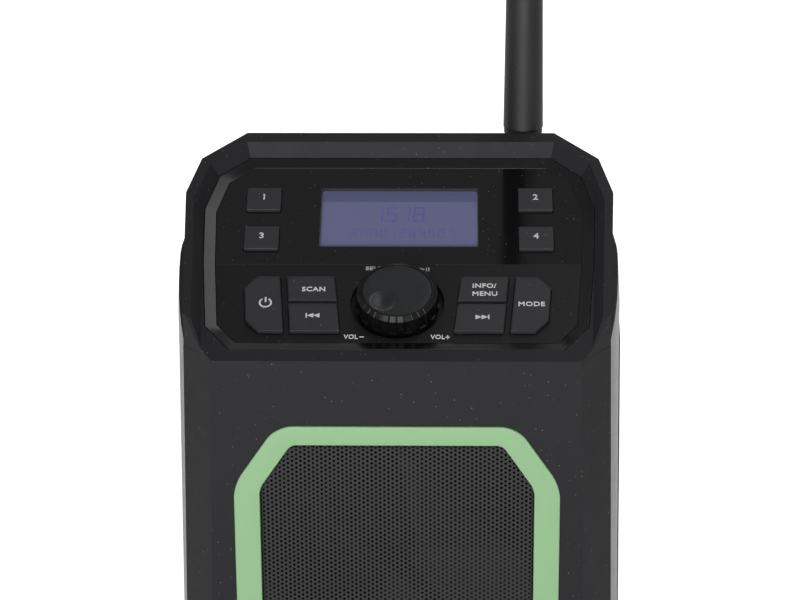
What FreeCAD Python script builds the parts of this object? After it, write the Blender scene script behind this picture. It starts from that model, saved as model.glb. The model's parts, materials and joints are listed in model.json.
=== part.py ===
"""Jobsite radio: an assembly of separate pieces, in millimetres.

+X is to the right seen from the front, +Y is to the back and +Z is up.
The origin is under the middle of the housing, on the surface that it stands on.
Sizes are in the sheet, by name. Depths are counted back from the flat front face.
The control panel has its own frame: X across, Y up the slope from the front
face's upper edge, and Z square to the panel.
"""
import FreeCAD
import Part
import math
import os
import re

import Sketcher

SIZES = {
    # Housing as a whole
    "body_depth": 137.0,
    "trim_proud": 1.0,
    "base_z": 6.0,
    "face_top": 200.7,
    "panel_angle": 25.2,
    # Corners of the flat front face: half width and height
    "face_base_half": 58.0,
    "face_base": 14.0,
    "face_low_half": 73.4,
    "face_low": 22.5,
    "face_wide_half": 79.3,
    "face_wide": 42.0,
    "face_top_half": 75.6,
    # Corners of the front shell's back edge, one bevel depth behind the face
    "bevel_depth": 17.0,
    "shell_base_half": 66.0,
    "shell_low_half": 84.5,
    "shell_low": 16.5,
    "shell_wide_half": 91.4,
    "shell_waist_half": 89.1,
    "waist_z": 150.0,
    "shell_top_half": 88.0,
    "front_wall": 6.0,
    # Hood over the panel, in the panel's frame
    "lip_length": 8.0,
    "lip_half": 80.9,
    "drop_end": 19.0,
    "rim_rise": 5.8,
    "hood_skirt": 5.0,
    "hood_start": 18.8,
    "hood_mid": 56.8,
    "hood_mid_half": 89.8,
    "hood_side_end": 91.4,
    "hood_wide_half": 91.3,
    "hood_corner": 112.2,
    "hood_corner_half": 85.7,
    "hood_length": 128.3,
    "hood_back_half": 66.8,
    "hood_back": 113.9,
    "wall_lean": 4.0,
    # Glossy bezel's outer corners, in the panel's frame
    "bezel_front": 6.5,
    "bezel_front_half": 68.5,
    "bezel_low": 19.3,
    "bezel_low_half": 79.0,
    "bezel_mid_half": 81.9,
    "bezel_side_end": 87.0,
    "bezel_wide_half": 83.2,
    "bezel_corner": 107.0,
    "bezel_corner_half": 78.0,
    "bezel_back": 118.3,
    "bezel_back_half": 65.0,
    "bezel_gap": 0.3,
    "bezel_width": 4.8,
    "ledge_depth": 3.0,
    "ledge_width": 6.2,
    "panel_sink": 1.35,
    # Display panel
    "gloss_edge": 55.7,
    "seam_gap": 0.15,
    "screen_half": 33.8,
    "screen_height": 35.1,
    "screen_mid": 83.6,
    "screen_gap": 0.1,
    "module_border": 4.2,
    "module_thick": 5.0,
    # Keys
    "preset_width": 15.2,
    "preset_height": 13.9,
    "preset_x": 58.2,
    "preset_low": 70.4,
    "preset_high": 93.6,
    "preset_proud": 1.35,
    "preset_corner": 1.6,
    "key_gap": 0.5,
    "key_proud": 1.8,
    "key_travel": 0.9,
    "key_edge": 0.5,
    "key_flange": 0.5,
    "key_flange_thick": 1.0,
    "key_slack": 0.25,
    "key_stem": 1.8,
    "stem_inner": 35.2,
    "stem_end": 56.0,
    "stem_low": 24.4,
    "stem_high": 40.6,
    "keys_front": 16.4,
    "keys_back": 47.6,
    "keys_split": 32.9,
    "split_half": 0.7,
    "inner_front_half": 23.2,
    "inner_back_half": 26.2,
    "groove_front_half": 44.2,
    "groove_back_half": 46.6,
    "outer_front_half": 46.4,
    "outer_back_half": 49.0,
    "end_front_half": 57.2,
    "end_back_half": 58.8,
    "end_low_half": 62.8,
    "end_high_half": 64.2,
    "end_low": 22.4,
    "end_high": 41.0,
    # Boards under the panel
    "board_drop": 14.0,
    "board_thick": 1.6,
    "board_half": 79.5,
    "board_front": 20.0,
    "board_back": 98.0,
    "well_half": 82.0,
    "well_front": 14.5,
    "well_back": 106.0,
    "well_corner": 92.0,
    "well_back_half": 77.0,
    "well_depth": 15.0,
    "post_x": 77.2,
    "post_low": 30.0,
    "post_high": 90.0,
    "post_radius": 2.8,
    "pilot_radius": 1.1,
    "switch_side": 6.0,
    "switch_height": 3.5,
    "switch_button": 0.8,
    # Rotary knob
    "knob_mid": 33.4,
    "dish_radius": 19.5,
    "dish_floor_radius": 18.5,
    "dish_depth": 3.0,
    "dish_wall": 1.0,
    "knob_radius": 17.5,
    "knob_shoulder_radius": 16.2,
    "knob_face_radius": 15.0,
    "knob_rim_width": 1.6,
    "knob_rise": 8.35,
    "knob_lift": 1.0,
    "cap_recess": 0.5,
    "cap_thick": 3.2,
    "flute_count": 30,
    "flute_radius": 1.0,
    "dimple_offset": 8.0,
    "dimple_radius": 5.4,
    "dimple_depth": 1.3,
    "shaft_radius": 3.0,
    "shaft_clearance": 0.05,
    "bushing_radius": 4.5,
    "encoder_side": 13.0,
    "encoder_height": 6.5,
    "plunger_radius": 2.4,
    "plunger_height": 1.4,
    "push_travel": 0.5,
    # Speaker opening, trim and grille
    "speaker_z": 102.0,
    "trim_half": 67.75,
    "trim_half_height": 69.8,
    "trim_cut_x": 18.65,
    "trim_cut_z": 27.3,
    "grille_half": 57.6,
    "grille_half_height": 60.9,
    "grille_cut_x": 14.6,
    "grille_cut_z": 21.2,
    "trim_round": 10.0,
    "trim_edge": 0.8,
    "trim_skirt": 3.6,
    "trim_gap": 0.3,
    "grille_back": 3.0,
    "grille_thick": 1.0,
    "grille_margin": 2.8,
    "grille_pitch": 12.0,
    "grille_hole": 3.2,
    "baffle_radius": 47.5,
    "gasket_thick": 1.5,
    "flange_radius": 56.0,
    "flange_thick": 2.0,
    "basket_depth": 34.0,
    "basket_wall": 1.4,
    "basket_back_radius": 26.0,
    "surround_width": 7.0,
    "cone_depth": 19.0,
    "cone_thick": 0.8,
    "coil_radius": 12.7,
    "coil_thick": 0.7,
    "coil_length": 16.0,
    "magnet_radius": 31.0,
    "magnet_thick": 15.0,
    "speaker_screw_radius": 51.8,
    # Middle housing: half widths where it meets the rear shell
    "split_depth": 62.0,
    "split_top": 185.0,
    "mid_low_half": 90.0,
    "mid_wide_half": 96.2,
    "mid_waist_half": 94.4,
    "mid_shoulder_half": 93.9,
    "shoulder_z": 204.0,
    "mid_upper_half": 92.6,
    "upper_z": 226.0,
    "mid_crown_half": 78.0,
    "crown_z": 264.0,
    "mid_bulge": 0.68,
    "wall": 3.0,
    # Rear shell
    "rear_proud": 0.5,
    "rear_full_depth": 100.0,
    "rear_wide_half": 95.5,
    "rear_waist_half": 93.6,
    "rear_shoulder_half": 93.0,
    "rear_upper_half": 90.5,
    "rear_upper_z": 227.0,
    "rear_crown_half": 84.0,
    "rear_crown_z": 250.0,
    "tail_upper_half": 88.0,
    "tail_crown_half": 72.0,
    "rear_taper": 6.0,
    "deck_z": 240.0,
    "deck_edge": 5.0,
    "rear_wall": 6.0,
    "seal_thick": 1.0,
    "seal_width": 5.0,
    "seal_inset": 0.6,
    # Screw bosses
    "boss_x": 79.0,
    "boss_low": 27.5,
    "boss_mid": 100.0,
    "boss_high": 170.0,
    "boss_radius": 7.6,
    "boss_length": 20.0,
    "well_radius": 4.3,
    "screw_head_radius": 3.6,
    "screw_head": 3.0,
    "screw_radius": 1.75,
    "screw_clearance": 0.3,
    "screw_seat": 8.0,
    # Hand grip in the back
    "grip_half": 42.0,
    "grip_z": 200.0,
    "grip_height": 27.0,
    "grip_depth": 20.0,
    # Battery bay
    "cell_diameter": 33.0,
    "cell_length": 61.5,
    "cell_gap": 0.5,
    "bay_margin": 0.9,
    "bay_floor": 34.0,
    "tray_wall": 2.0,
    "tray_depth": 37.0,
    "contact_thick": 0.6,
    "door_overlap": 3.0,
    "door_thick": 2.4,
    "door_gap": 0.4,
    "door_barrel": 2.5,
    "door_pin": 1.2,
    "door_pin_length": 2.0,
    "main_board_half": 52.0,
    "main_board_height": 58.0,
    "main_board_z": 67.0,
    "standoff": 4.0,
    # Sockets and their cover
    "port_x": -44.0,
    "port_z": 142.0,
    "port_half": 25.0,
    "port_height": 20.0,
    "port_cover_thick": 2.2,
    "port_gap": 0.4,
    "port_barrel": 1.2,
    "port_pin": 0.7,
    "socket_half": 5.5,
    "socket_gap": 1.0,
    "socket_depth": 12.0,
    # Antenna
    "antenna_x": 53.5,
    "antenna_depth": 123.6,
    "pivot_z": 250.0,
    "ear_radius": 6.5,
    "ear_thick": 3.5,
    "tongue_thick": 7.0,
    "ear_gap": 0.3,
    "pin_radius": 1.75,
    "antenna_foot": 1.0,
    "whip_start": 8.6,
    "whip_length": 222.0,
    "whip_base_radius": 8.7,
    "whip_tip_radius": 6.0,
    "ferrule_height": 2.4,
    # Feet
    "foot_radius": 8.0,
    "foot_tip_radius": 7.0,
    "foot_x": 52.0,
    "foot_front": 34.0,
    "foot_back": 88.0,
}

FACE = "(trim_proud - body_depth / 2)"
REAR = "(body_depth / 2)"
SMALL_LENGTH = 1e-6

doc = FreeCAD.newDocument("JobsiteRadio")
nodes = []


def make_sheet():
    """Write every size in its own cell, under its name."""
    sheet = doc.addObject("Spreadsheet::Sheet", "Sizes")
    for row, (name, size) in enumerate(SIZES.items(), start=1):
        cell = "A%d" % row
        sheet.set(cell, str(size))
        sheet.setAlias(cell, name)
    doc.recompute()
    return sheet


SHEET = make_sheet()


def bound(text):
    """Give an expression that other objects can read, from one in sheet names."""
    return re.sub(r"[a-z_]+", lambda m: "Sizes." + m[0] if m[0] in SIZES else m[0], text)


def size(text):
    """Work out an expression in sheet names."""
    return float(SHEET.evalExpression(text))


def bind(item, prop, text):
    """Tie a property to an expression in sheet names."""
    item.setExpression(prop, bound(text))


def behind_face(text):
    """Give the Y of a depth counted back from the front face."""
    return "(%s + %s)" % (FACE, text)


def panel_point(along, above):
    """Give the Y and Z of a point in the panel's frame."""
    y = "%s + (%s) * cos(panel_angle) - (%s) * sin(panel_angle)" % (FACE, along, above)
    z = "face_top + (%s) * sin(panel_angle) + (%s) * cos(panel_angle)" % (along, above)
    return y, z


def mirrored(half):
    """Close a half outline, listed upwards on the +X side, into a whole one."""
    left = [("-(%s)" % x, y) for x, y in reversed(half)]
    return half + left


def inset(corners, amount):
    """Move each corner of a closed outline inwards by one wall or gap."""
    points = [(size(x), size(y)) for x, y in corners]
    count = len(points)
    moved = []
    for i in range(count):
        before = points[i - 1]
        here = points[i]
        after = points[(i + 1) % count]
        ax, ay = here[0] - before[0], here[1] - before[1]
        bx, by = after[0] - here[0], after[1] - here[1]
        a_length = math.hypot(ax, ay)
        b_length = math.hypot(bx, by)
        na = (-ay / a_length, ax / a_length)
        nb = (-by / b_length, bx / b_length)
        spread = 1.0 + na[0] * nb[0] + na[1] * nb[1]
        mx = (na[0] + nb[0]) / spread
        my = (na[1] + nb[1]) / spread
        x, y = corners[i]
        moved.append(("%s + (%.6f) * (%s)" % (x, mx, amount), "%s + (%.6f) * (%s)" % (y, my, amount)))
    return moved


def rectangle(x_low, x_high, y_low, y_high):
    """List a rectangle's corners."""
    return [(x_low, y_low), (x_high, y_low), (x_high, y_high), (x_low, y_high)]


def new_body(label):
    """Start a sub-part as a body and list it as a node."""
    body = doc.addObject("PartDesign::Body", label)
    body.Label = label
    nodes.append(body)
    return body


def place(item, x="0", y="0", z="0", axis=None, angle=None):
    """Set an object's place by expressions, with a fixed turn about one axis."""
    turn = FreeCAD.Rotation(FreeCAD.Vector(*axis), size(angle)) if axis else FreeCAD.Rotation()
    item.Placement = FreeCAD.Placement(FreeCAD.Vector(size(x), size(y), size(z)), turn)
    bind(item, "Placement.Base.x", x)
    bind(item, "Placement.Base.y", y)
    bind(item, "Placement.Base.z", z)
    if axis and angle == "panel_angle":
        bind(item, "Placement.Rotation.Angle", angle)


def place_on_panel(item):
    """Set an object in the panel's frame."""
    place(item, "0", FACE, "face_top", (1, 0, 0), "panel_angle")


def place_facing_back(item, x, y, z):
    """Set an object so that its own Z runs to the back."""
    place(item, x, y, z, (1, 0, 0), "-90")


PLANES = {"plan": "XY_Plane", "front": "XZ_Plane", "side": "YZ_Plane"}


def new_sketch(body, name, plane, lift="0"):
    """Attach a sketch to one of the body's own planes, raised along its normal."""
    sketch = body.newObject("Sketcher::SketchObject", name)
    role = PLANES[plane]
    origin_plane = [f for f in body.Origin.OriginFeatures if f.Role == role][0]
    sketch.AttachmentSupport = [(origin_plane, "")]
    sketch.MapMode = "FlatFace"
    bind(sketch, "AttachmentOffset.Base.z", lift)
    return sketch


def panel_sketch(body, name, lift):
    """Attach a sketch parallel to the control panel, in a body that stands upright."""
    sketch = new_sketch(body, name, "plan")
    y, z = panel_point("0", lift)
    turn = FreeCAD.Rotation(FreeCAD.Vector(1, 0, 0), size("panel_angle"))
    sketch.AttachmentOffset = FreeCAD.Placement(FreeCAD.Vector(0, size(y), size(z)), turn)
    bind(sketch, "AttachmentOffset.Base.y", y)
    bind(sketch, "AttachmentOffset.Base.z", z)
    bind(sketch, "AttachmentOffset.Rotation.Angle", "panel_angle")
    return sketch


def draw_loop(sketch, corners):
    """Draw a closed outline whose corners are tied to the sheet."""
    first = sketch.GeometryCount
    start = sketch.ConstraintCount
    count = len(corners)
    points = [FreeCAD.Vector(size(x), size(y), 0) for x, y in corners]
    lines = [Part.LineSegment(points[i], points[(i + 1) % count]) for i in range(count)]
    sketch.addGeometry(lines)
    joins = []
    places = []
    for i in range(count):
        after = first + (i + 1) % count
        joins.append(Sketcher.Constraint("Coincident", first + i, 2, after, 1))
        places.append(Sketcher.Constraint("DistanceX", -1, 1, first + i, 1, points[i].x))
        places.append(Sketcher.Constraint("DistanceY", -1, 1, first + i, 1, points[i].y))
    sketch.addConstraint(joins + places)
    for i, (x, y) in enumerate(corners):
        across = start + count + 2 * i
        bind(sketch, "Constraints[%d]" % across, x)
        bind(sketch, "Constraints[%d]" % (across + 1), y)


def draw_circle(sketch, x, y, radius):
    """Draw a circle tied to the sheet."""
    centre = FreeCAD.Vector(size(x), size(y), 0)
    index = sketch.addGeometry(Part.Circle(centre, FreeCAD.Vector(0, 0, 1), size(radius)))
    across = sketch.addConstraint(Sketcher.Constraint("DistanceX", -1, 1, index, 3, centre.x))
    bind(sketch, "Constraints[%d]" % across, x)
    up = sketch.addConstraint(Sketcher.Constraint("DistanceY", -1, 1, index, 3, centre.y))
    bind(sketch, "Constraints[%d]" % up, y)
    wide = sketch.addConstraint(Sketcher.Constraint("Radius", index, size(radius)))
    bind(sketch, "Constraints[%d]" % wide, radius)


def pad(body, sketch, length, backwards=False, both_ways=False):
    """Add material along the sketch's normal."""
    feature = body.newObject("PartDesign::Pad", sketch.Name + "_pad")
    feature.Profile = sketch
    feature.Midplane = both_ways
    feature.Reversed = backwards
    bind(feature, "Length", length)
    doc.recompute()
    return feature


def pocket(body, sketch, length=None, backwards=False, both_ways=False):
    """Cut material against the sketch's normal, right through where no length is given."""
    before = body.Shape.Volume
    feature = body.newObject("PartDesign::Pocket", sketch.Name + "_cut")
    feature.Profile = sketch
    feature.Midplane = both_ways
    feature.Reversed = backwards
    if length is None:
        feature.Type = "ThroughAll"
    else:
        bind(feature, "Length", length)
    doc.recompute()
    if body.Shape.Volume >= before - SMALL_LENGTH:
        raise ValueError("%s cuts nothing" % feature.Name)
    return feature


def loft(body, name, sketches, cut=False, ruled=True):
    """Join outlines of equally many corners, as added or removed material."""
    kind = "PartDesign::SubtractiveLoft" if cut else "PartDesign::AdditiveLoft"
    feature = body.newObject(kind, name)
    feature.Profile = sketches[0]
    feature.Sections = sketches[1:]
    feature.Ruled = ruled
    doc.recompute()
    return feature


def revolve(body, name, corners):
    """Turn a profile of radius and height about the body's own Z."""
    sketch = new_sketch(body, name + "_profile", "front")
    draw_loop(sketch, corners)
    feature = body.newObject("PartDesign::Revolution", name)
    feature.Profile = sketch
    feature.ReferenceAxis = (sketch, ["V_Axis"])
    feature.Angle = 360.0
    doc.recompute()
    return feature


def upright_edges(feature, low_x=None):
    """Name the straight edges that run along Z, and those beyond low_x where it is given."""
    names = []
    for i, edge in enumerate(feature.Shape.Edges, start=1):
        first, last = edge.Vertexes[0].Point, edge.Vertexes[-1].Point
        flat = math.hypot(last.x - first.x, last.y - first.y)
        if flat < SMALL_LENGTH < abs(last.z - first.z) and (low_x is None or abs(first.x) > low_x):
            names.append("Edge%d" % i)
    return names


def highest_face(feature, axis):
    """Name the flat face that lies furthest along an axis."""
    best = max(range(len(feature.Shape.Faces)),
               key=lambda i: feature.Shape.Faces[i].CenterOfMass.dot(FreeCAD.Vector(*axis)))
    return "Face%d" % (best + 1)


def dress(body, kind, feature, names, prop, text):
    """Round or chamfer edges, or all edges of a face."""
    edge_work = body.newObject("PartDesign::" + kind, "%s_%s" % (feature.Name, kind.lower()))
    edge_work.Base = (feature, names)
    bind(edge_work, prop, text)
    doc.recompute()
    return edge_work


def compound(label, parts):
    """Group separate solids in one node."""
    group = doc.addObject("Part::Compound", label)
    group.Label = label
    group.Links = parts
    nodes.append(group)
    return group


def box(name, length, width, height, x, y, z):
    """Make a box from its lowest corner."""
    item = doc.addObject("Part::Box", name)
    bind(item, "Length", length)
    bind(item, "Width", width)
    bind(item, "Height", height)
    place(item, x, y, z)
    return item


def cylinder(name, radius, height, x, y, z, facing_back=False):
    """Make a cylinder that stands up or runs to the back."""
    item = doc.addObject("Part::Cylinder", name)
    bind(item, "Radius", radius)
    bind(item, "Height", height)
    if facing_back:
        place_facing_back(item, x, y, z)
    else:
        place(item, x, y, z)
    return item


# Outlines that several pieces share

FACE_HALF = [
    ("face_base_half", "face_base"),
    ("face_low_half", "face_low"),
    ("face_wide_half", "face_wide"),
    ("face_top_half", "face_top"),
]

SHELL_HALF = [
    ("shell_base_half", "base_z"),
    ("shell_low_half", "shell_low"),
    ("shell_wide_half", "face_wide"),
    ("shell_top_half", "face_top + bevel_depth * tan(panel_angle)"),
]

BEZEL = mirrored([
    ("bezel_front_half", "bezel_front"),
    ("bezel_low_half", "bezel_low"),
    ("bezel_mid_half", "gloss_edge"),
    ("bezel_wide_half", "bezel_side_end"),
    ("bezel_corner_half", "bezel_corner"),
    ("bezel_back_half", "bezel_back"),
])


def section(low, wide, waist, shoulder, upper, upper_z, crown, crown_z, grow="0"):
    """List the housing's outline at one depth, from the base to the crown."""
    half = [
        ("shell_base_half + " + grow, "base_z"),
        (low + " + " + grow, "shell_low"),
        (wide + " + " + grow, "face_wide"),
        (waist + " + " + grow, "waist_z"),
        (shoulder + " + " + grow, "shoulder_z"),
        (upper + " + " + grow, upper_z),
        (crown + " + " + grow, crown_z),
    ]
    return mirrored(half)


FRONT_SECTION = section("shell_low_half", "shell_wide_half", "shell_waist_half", "shell_top_half",
                        "shell_top_half", "upper_z", "mid_crown_half", "crown_z")
SPLIT_SECTION = section("mid_low_half", "mid_wide_half", "mid_waist_half", "mid_shoulder_half",
                        "mid_upper_half", "upper_z", "mid_crown_half", "crown_z")
REAR_SECTION = section("mid_low_half", "rear_wide_half", "rear_waist_half", "rear_shoulder_half",
                       "rear_upper_half", "rear_upper_z", "rear_crown_half", "rear_crown_z")
TAIL_SECTION = section("mid_low_half", "rear_wide_half", "rear_waist_half", "rear_shoulder_half",
                       "tail_upper_half", "rear_upper_z", "tail_crown_half", "rear_crown_z")

# The battery bay holds cells two in line and two high, so its size follows from theirs
BAY_HALF = "(cell_length + bay_margin)"
BAY_TOP = "(bay_floor + cell_diameter * 2 + cell_gap * 3)"
DOOR_FOOT = "(bay_floor - door_overlap - door_barrel * 2)"
DOOR_AXIS_Z = "(bay_floor - door_overlap - door_barrel + door_gap)"
DOOR_AXIS_Y = "(%s - door_barrel)" % REAR
PORT_AXIS_Z = "(port_z - port_height / 2 + port_barrel + port_gap)"
PORT_AXIS_Y = "(%s - port_barrel)" % REAR
BACK = "(body_depth - trim_proud)"
PANEL_BACK = "-ledge_depth"


def blended(low, high, share):
    """Mix two sections of equally many corners."""
    mixed = []
    for (ax, ay), (bx, by) in zip(low, high):
        mixed.append(("(%s) * (1 - %s) + (%s) * %s" % (ax, share, bx, share),
                      "(%s) * (1 - %s) + (%s) * %s" % (ay, share, by, share)))
    return mixed


def front_outline(body, name, corners, depth):
    """Sketch an outline upright, at a depth behind the front face."""
    sketch = new_sketch(body, name, "front", "-" + behind_face(depth))
    draw_loop(sketch, corners)
    return sketch


def side_cut(body, name, corners):
    """Cut a side-view outline right through the housing's width."""
    sketch = new_sketch(body, name, "side")
    draw_loop(sketch, corners)
    return pocket(body, sketch, "4 * shell_wide_half", both_ways=True)


def make_front_shell():
    """Front shell: bevelled face, hood with its rim, panel recess and speaker baffle."""
    body = new_body("front_shell")
    face = front_outline(body, "face_outline", mirrored(FACE_HALF), "0")
    back = front_outline(body, "face_back_outline", mirrored(SHELL_HALF), "bevel_depth")
    loft(body, "bevelled_face", [face, back])

    hood = panel_sketch(body, "hood_outline", "-hood_skirt")
    draw_loop(hood, mirrored([
        ("lip_half", "lip_length"),
        ("shell_top_half", "hood_start"),
        ("hood_mid_half", "hood_mid"),
        ("hood_wide_half", "hood_side_end"),
        ("hood_corner_half", "hood_corner"),
        ("hood_back_half", "hood_length"),
    ]))
    pad(body, hood, "hood_skirt + rim_rise")

    back_low = panel_point("hood_length", "-hood_skirt - rim_rise")
    side_cut(body, "hood_back_wall", rectangle(behind_face("hood_back"), behind_face("hood_back + hood_skirt * 4"),
                                               back_low[1], "%s + hood_length" % back_low[1]))
    side_cut(body, "rim_drop", [
        panel_point("lip_length", "0"),
        panel_point("drop_end", "rim_rise"),
        panel_point("drop_end", "rim_rise * 3"),
        panel_point("0", "rim_rise * 3"),
        panel_point("0", "0"),
    ])

    bevel = new_sketch(body, "rim_bevel", "plan", "face_top")
    for sign in ("", "-"):
        draw_loop(bevel, [
            (sign + "face_top_half", FACE),
            (sign + "shell_top_half", behind_face("bevel_depth")),
            (sign + "(shell_top_half + bevel_depth)", behind_face("bevel_depth")),
            (sign + "(shell_top_half + bevel_depth)", behind_face("-bevel_depth")),
            (sign + "face_top_half", behind_face("-bevel_depth")),
        ])
    pocket(body, bevel, "bevel_depth * 1.5", backwards=True)

    foot = [
        ("lip_half - 0.9", "lip_length / 2"),
        ("bezel_mid_half + bezel_gap", "gloss_edge"),
        ("bezel_wide_half + bezel_gap", "bezel_side_end"),
        ("bezel_corner_half + bezel_gap", "bezel_corner + bezel_gap"),
        ("bezel_back_half + bezel_gap", "bezel_back + bezel_gap"),
    ]
    foot = mirrored(foot)
    low = panel_sketch(body, "recess_foot", "0")
    draw_loop(low, foot)
    high = panel_sketch(body, "recess_mouth", "rim_rise * 1.25")
    mouth = inset(foot, "-wall_lean * 1.25")
    mouth[0] = (mouth[0][0], foot[0][1])
    mouth[-1] = (mouth[-1][0], foot[-1][1])
    draw_loop(high, mouth)
    loft(body, "recess", [low, high], cut=True)

    ledge = panel_sketch(body, "ledge_outline", "0")
    draw_loop(ledge, inset(BEZEL, "-bezel_gap"))
    pocket(body, ledge, "ledge_depth")
    window = panel_sketch(body, "window_outline", "0")
    draw_loop(window, inset(BEZEL, "ledge_width"))
    pocket(body, window, "hood_skirt * 2")

    inner_top = "face_top + front_wall * tan(panel_angle) - hood_skirt / cos(panel_angle)"
    back_top = "face_top + bevel_depth * tan(panel_angle) - hood_skirt / cos(panel_angle)"
    near = inset(mirrored(FACE_HALF), "wall / 2")
    far = inset(mirrored(SHELL_HALF), "wall")
    for corners, top in ((near, inner_top), (far, back_top)):
        for i in (3, 4):
            corners[i] = (corners[i][0], top)
    near_sketch = front_outline(body, "cavity_front", near, "front_wall")
    far_sketch = front_outline(body, "cavity_back", far, "bevel_depth")
    loft(body, "cavity", [near_sketch, far_sketch], cut=True)

    recess = front_outline(body, "grille_recess", trim_shape("grille", "-trim_skirt - trim_gap"), "0")
    pocket(body, recess, "grille_back")
    hole = new_sketch(body, "baffle_hole", "front", "-" + behind_face("0"))
    draw_circle(hole, "0", "speaker_z", "baffle_radius")
    pocket(body, hole, "front_wall * 1.5")

    posts = panel_sketch(body, "board_posts", "-hood_skirt + 0.5")
    for x in ("post_x", "-post_x"):
        for along in ("post_low", "post_high"):
            draw_circle(posts, x, along, "post_radius")
    pad(body, posts, "board_drop - hood_skirt + 0.5", backwards=True)
    pilots = panel_sketch(body, "board_pilots", "-board_drop")
    for x in ("post_x", "-post_x"):
        for along in ("post_low", "post_high"):
            draw_circle(pilots, x, along, "pilot_radius")
    pocket(body, pilots, "board_drop - hood_skirt", backwards=True)

    pins = new_sketch(body, "speaker_pilots", "front", "-" + behind_face("front_wall"))
    for x, z in speaker_screw_places():
        draw_circle(pins, x, z, "pilot_radius")
    pocket(body, pins, "front_wall - grille_back - 0.6", backwards=True)


def trim_shape(name, amount):
    """List the trim's or grille's eight-cornered outline, moved inwards by an amount."""
    half = [
        ("%s_half - %s_cut_x" % (name, name), "speaker_z - %s_half_height" % name),
        ("%s_half" % name, "speaker_z - %s_half_height + %s_cut_z" % (name, name)),
        ("%s_half" % name, "speaker_z + %s_half_height - %s_cut_z" % (name, name)),
        ("%s_half - %s_cut_x" % (name, name), "speaker_z + %s_half_height" % name),
    ]
    return inset(mirrored(half), amount)


def speaker_screw_places():
    """List the four screws of the speaker, at 45 degrees."""
    arm = "speaker_screw_radius * 0.70711"
    places = []
    for across in ("", "-"):
        for up in ("+", "-"):
            places.append((across + arm, "speaker_z %s %s" % (up, arm)))
    return places


def make_middle_housing():
    """Middle housing: the band between the shells, open to the front and the back."""
    body = new_body("middle_housing")
    front = front_outline(body, "mid_front", FRONT_SECTION, "bevel_depth")
    half_way = "(bevel_depth + split_depth) / 2"
    bulge = front_outline(body, "mid_bulge_outline", blended(FRONT_SECTION, SPLIT_SECTION, "mid_bulge"), half_way)
    split = front_outline(body, "mid_split", SPLIT_SECTION, "split_depth")
    loft(body, "mid_band", [front, bulge, split], ruled=False)
    split_again = front_outline(body, "mid_split_again", SPLIT_SECTION, "split_depth")
    rear = front_outline(body, "mid_rear", REAR_SECTION, "rear_full_depth")
    tail = front_outline(body, "mid_tail", TAIL_SECTION, "hood_back")
    loft(body, "mid_arm", [split_again, rear, tail])

    side_cut(body, "under_hood", [
        (behind_face("0"), "face_top - hood_skirt / cos(panel_angle)"),
        (behind_face("body_depth"), "face_top + body_depth * tan(panel_angle) - hood_skirt / cos(panel_angle)"),
        (behind_face("body_depth"), "crown_z * 1.5"),
        (behind_face("0"), "crown_z * 1.5"),
    ])
    side_cut(body, "behind_band", [
        (behind_face("split_depth - seal_thick"), "-base_z"),
        (behind_face("body_depth"), "-base_z"),
        (behind_face("body_depth"), "deck_z"),
        (behind_face("hood_back"), "deck_z"),
        (behind_face("split_depth"), "split_top"),
        (behind_face("split_depth - seal_thick"), "split_top"),
    ])
    cavity = front_outline(body, "mid_cavity", housing_cavity(), "0")
    pocket(body, cavity, "hood_back - wall")
    well = panel_sketch(body, "control_well", "-hood_skirt")
    draw_loop(well, mirrored([
        ("well_half", "well_front"),
        ("well_half", "well_corner"),
        ("well_back_half", "well_back"),
    ]))
    pocket(body, well, "well_depth")

    bosses = new_sketch(body, "mid_bosses", "front", "-" + behind_face("split_depth - seal_thick"))
    for x, z in boss_places():
        draw_circle(bosses, x, z, "boss_radius")
    pad(body, bosses, "boss_length")
    pilots = new_sketch(body, "mid_pilots", "front", "-" + behind_face("split_depth - seal_thick"))
    for x, z in boss_places():
        draw_circle(pilots, x, z, "screw_radius + 0.05")
    pocket(body, pilots, "boss_length - 2", backwards=True)


def housing_cavity():
    """List the outline of the room inside the middle housing and the rear shell."""
    half = [
        ("shell_base_half - wall / 2", "base_z + wall"),
        ("shell_low_half - wall", "shell_low + wall"),
        ("shell_wide_half - wall * 2", "face_wide + wall / 2"),
        ("shell_top_half - wall", "shoulder_z"),
        ("well_half - wall / 2", "upper_z"),
        ("tail_crown_half - wall * 2", "rear_crown_z - wall * 2.2"),
    ]
    return mirrored(half)


def boss_places():
    """List the six screws that hold the rear shell."""
    places = []
    for x in ("boss_x", "-boss_x"):
        for z in ("boss_low", "boss_mid", "boss_high"):
            places.append((x, z))
    return places


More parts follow.
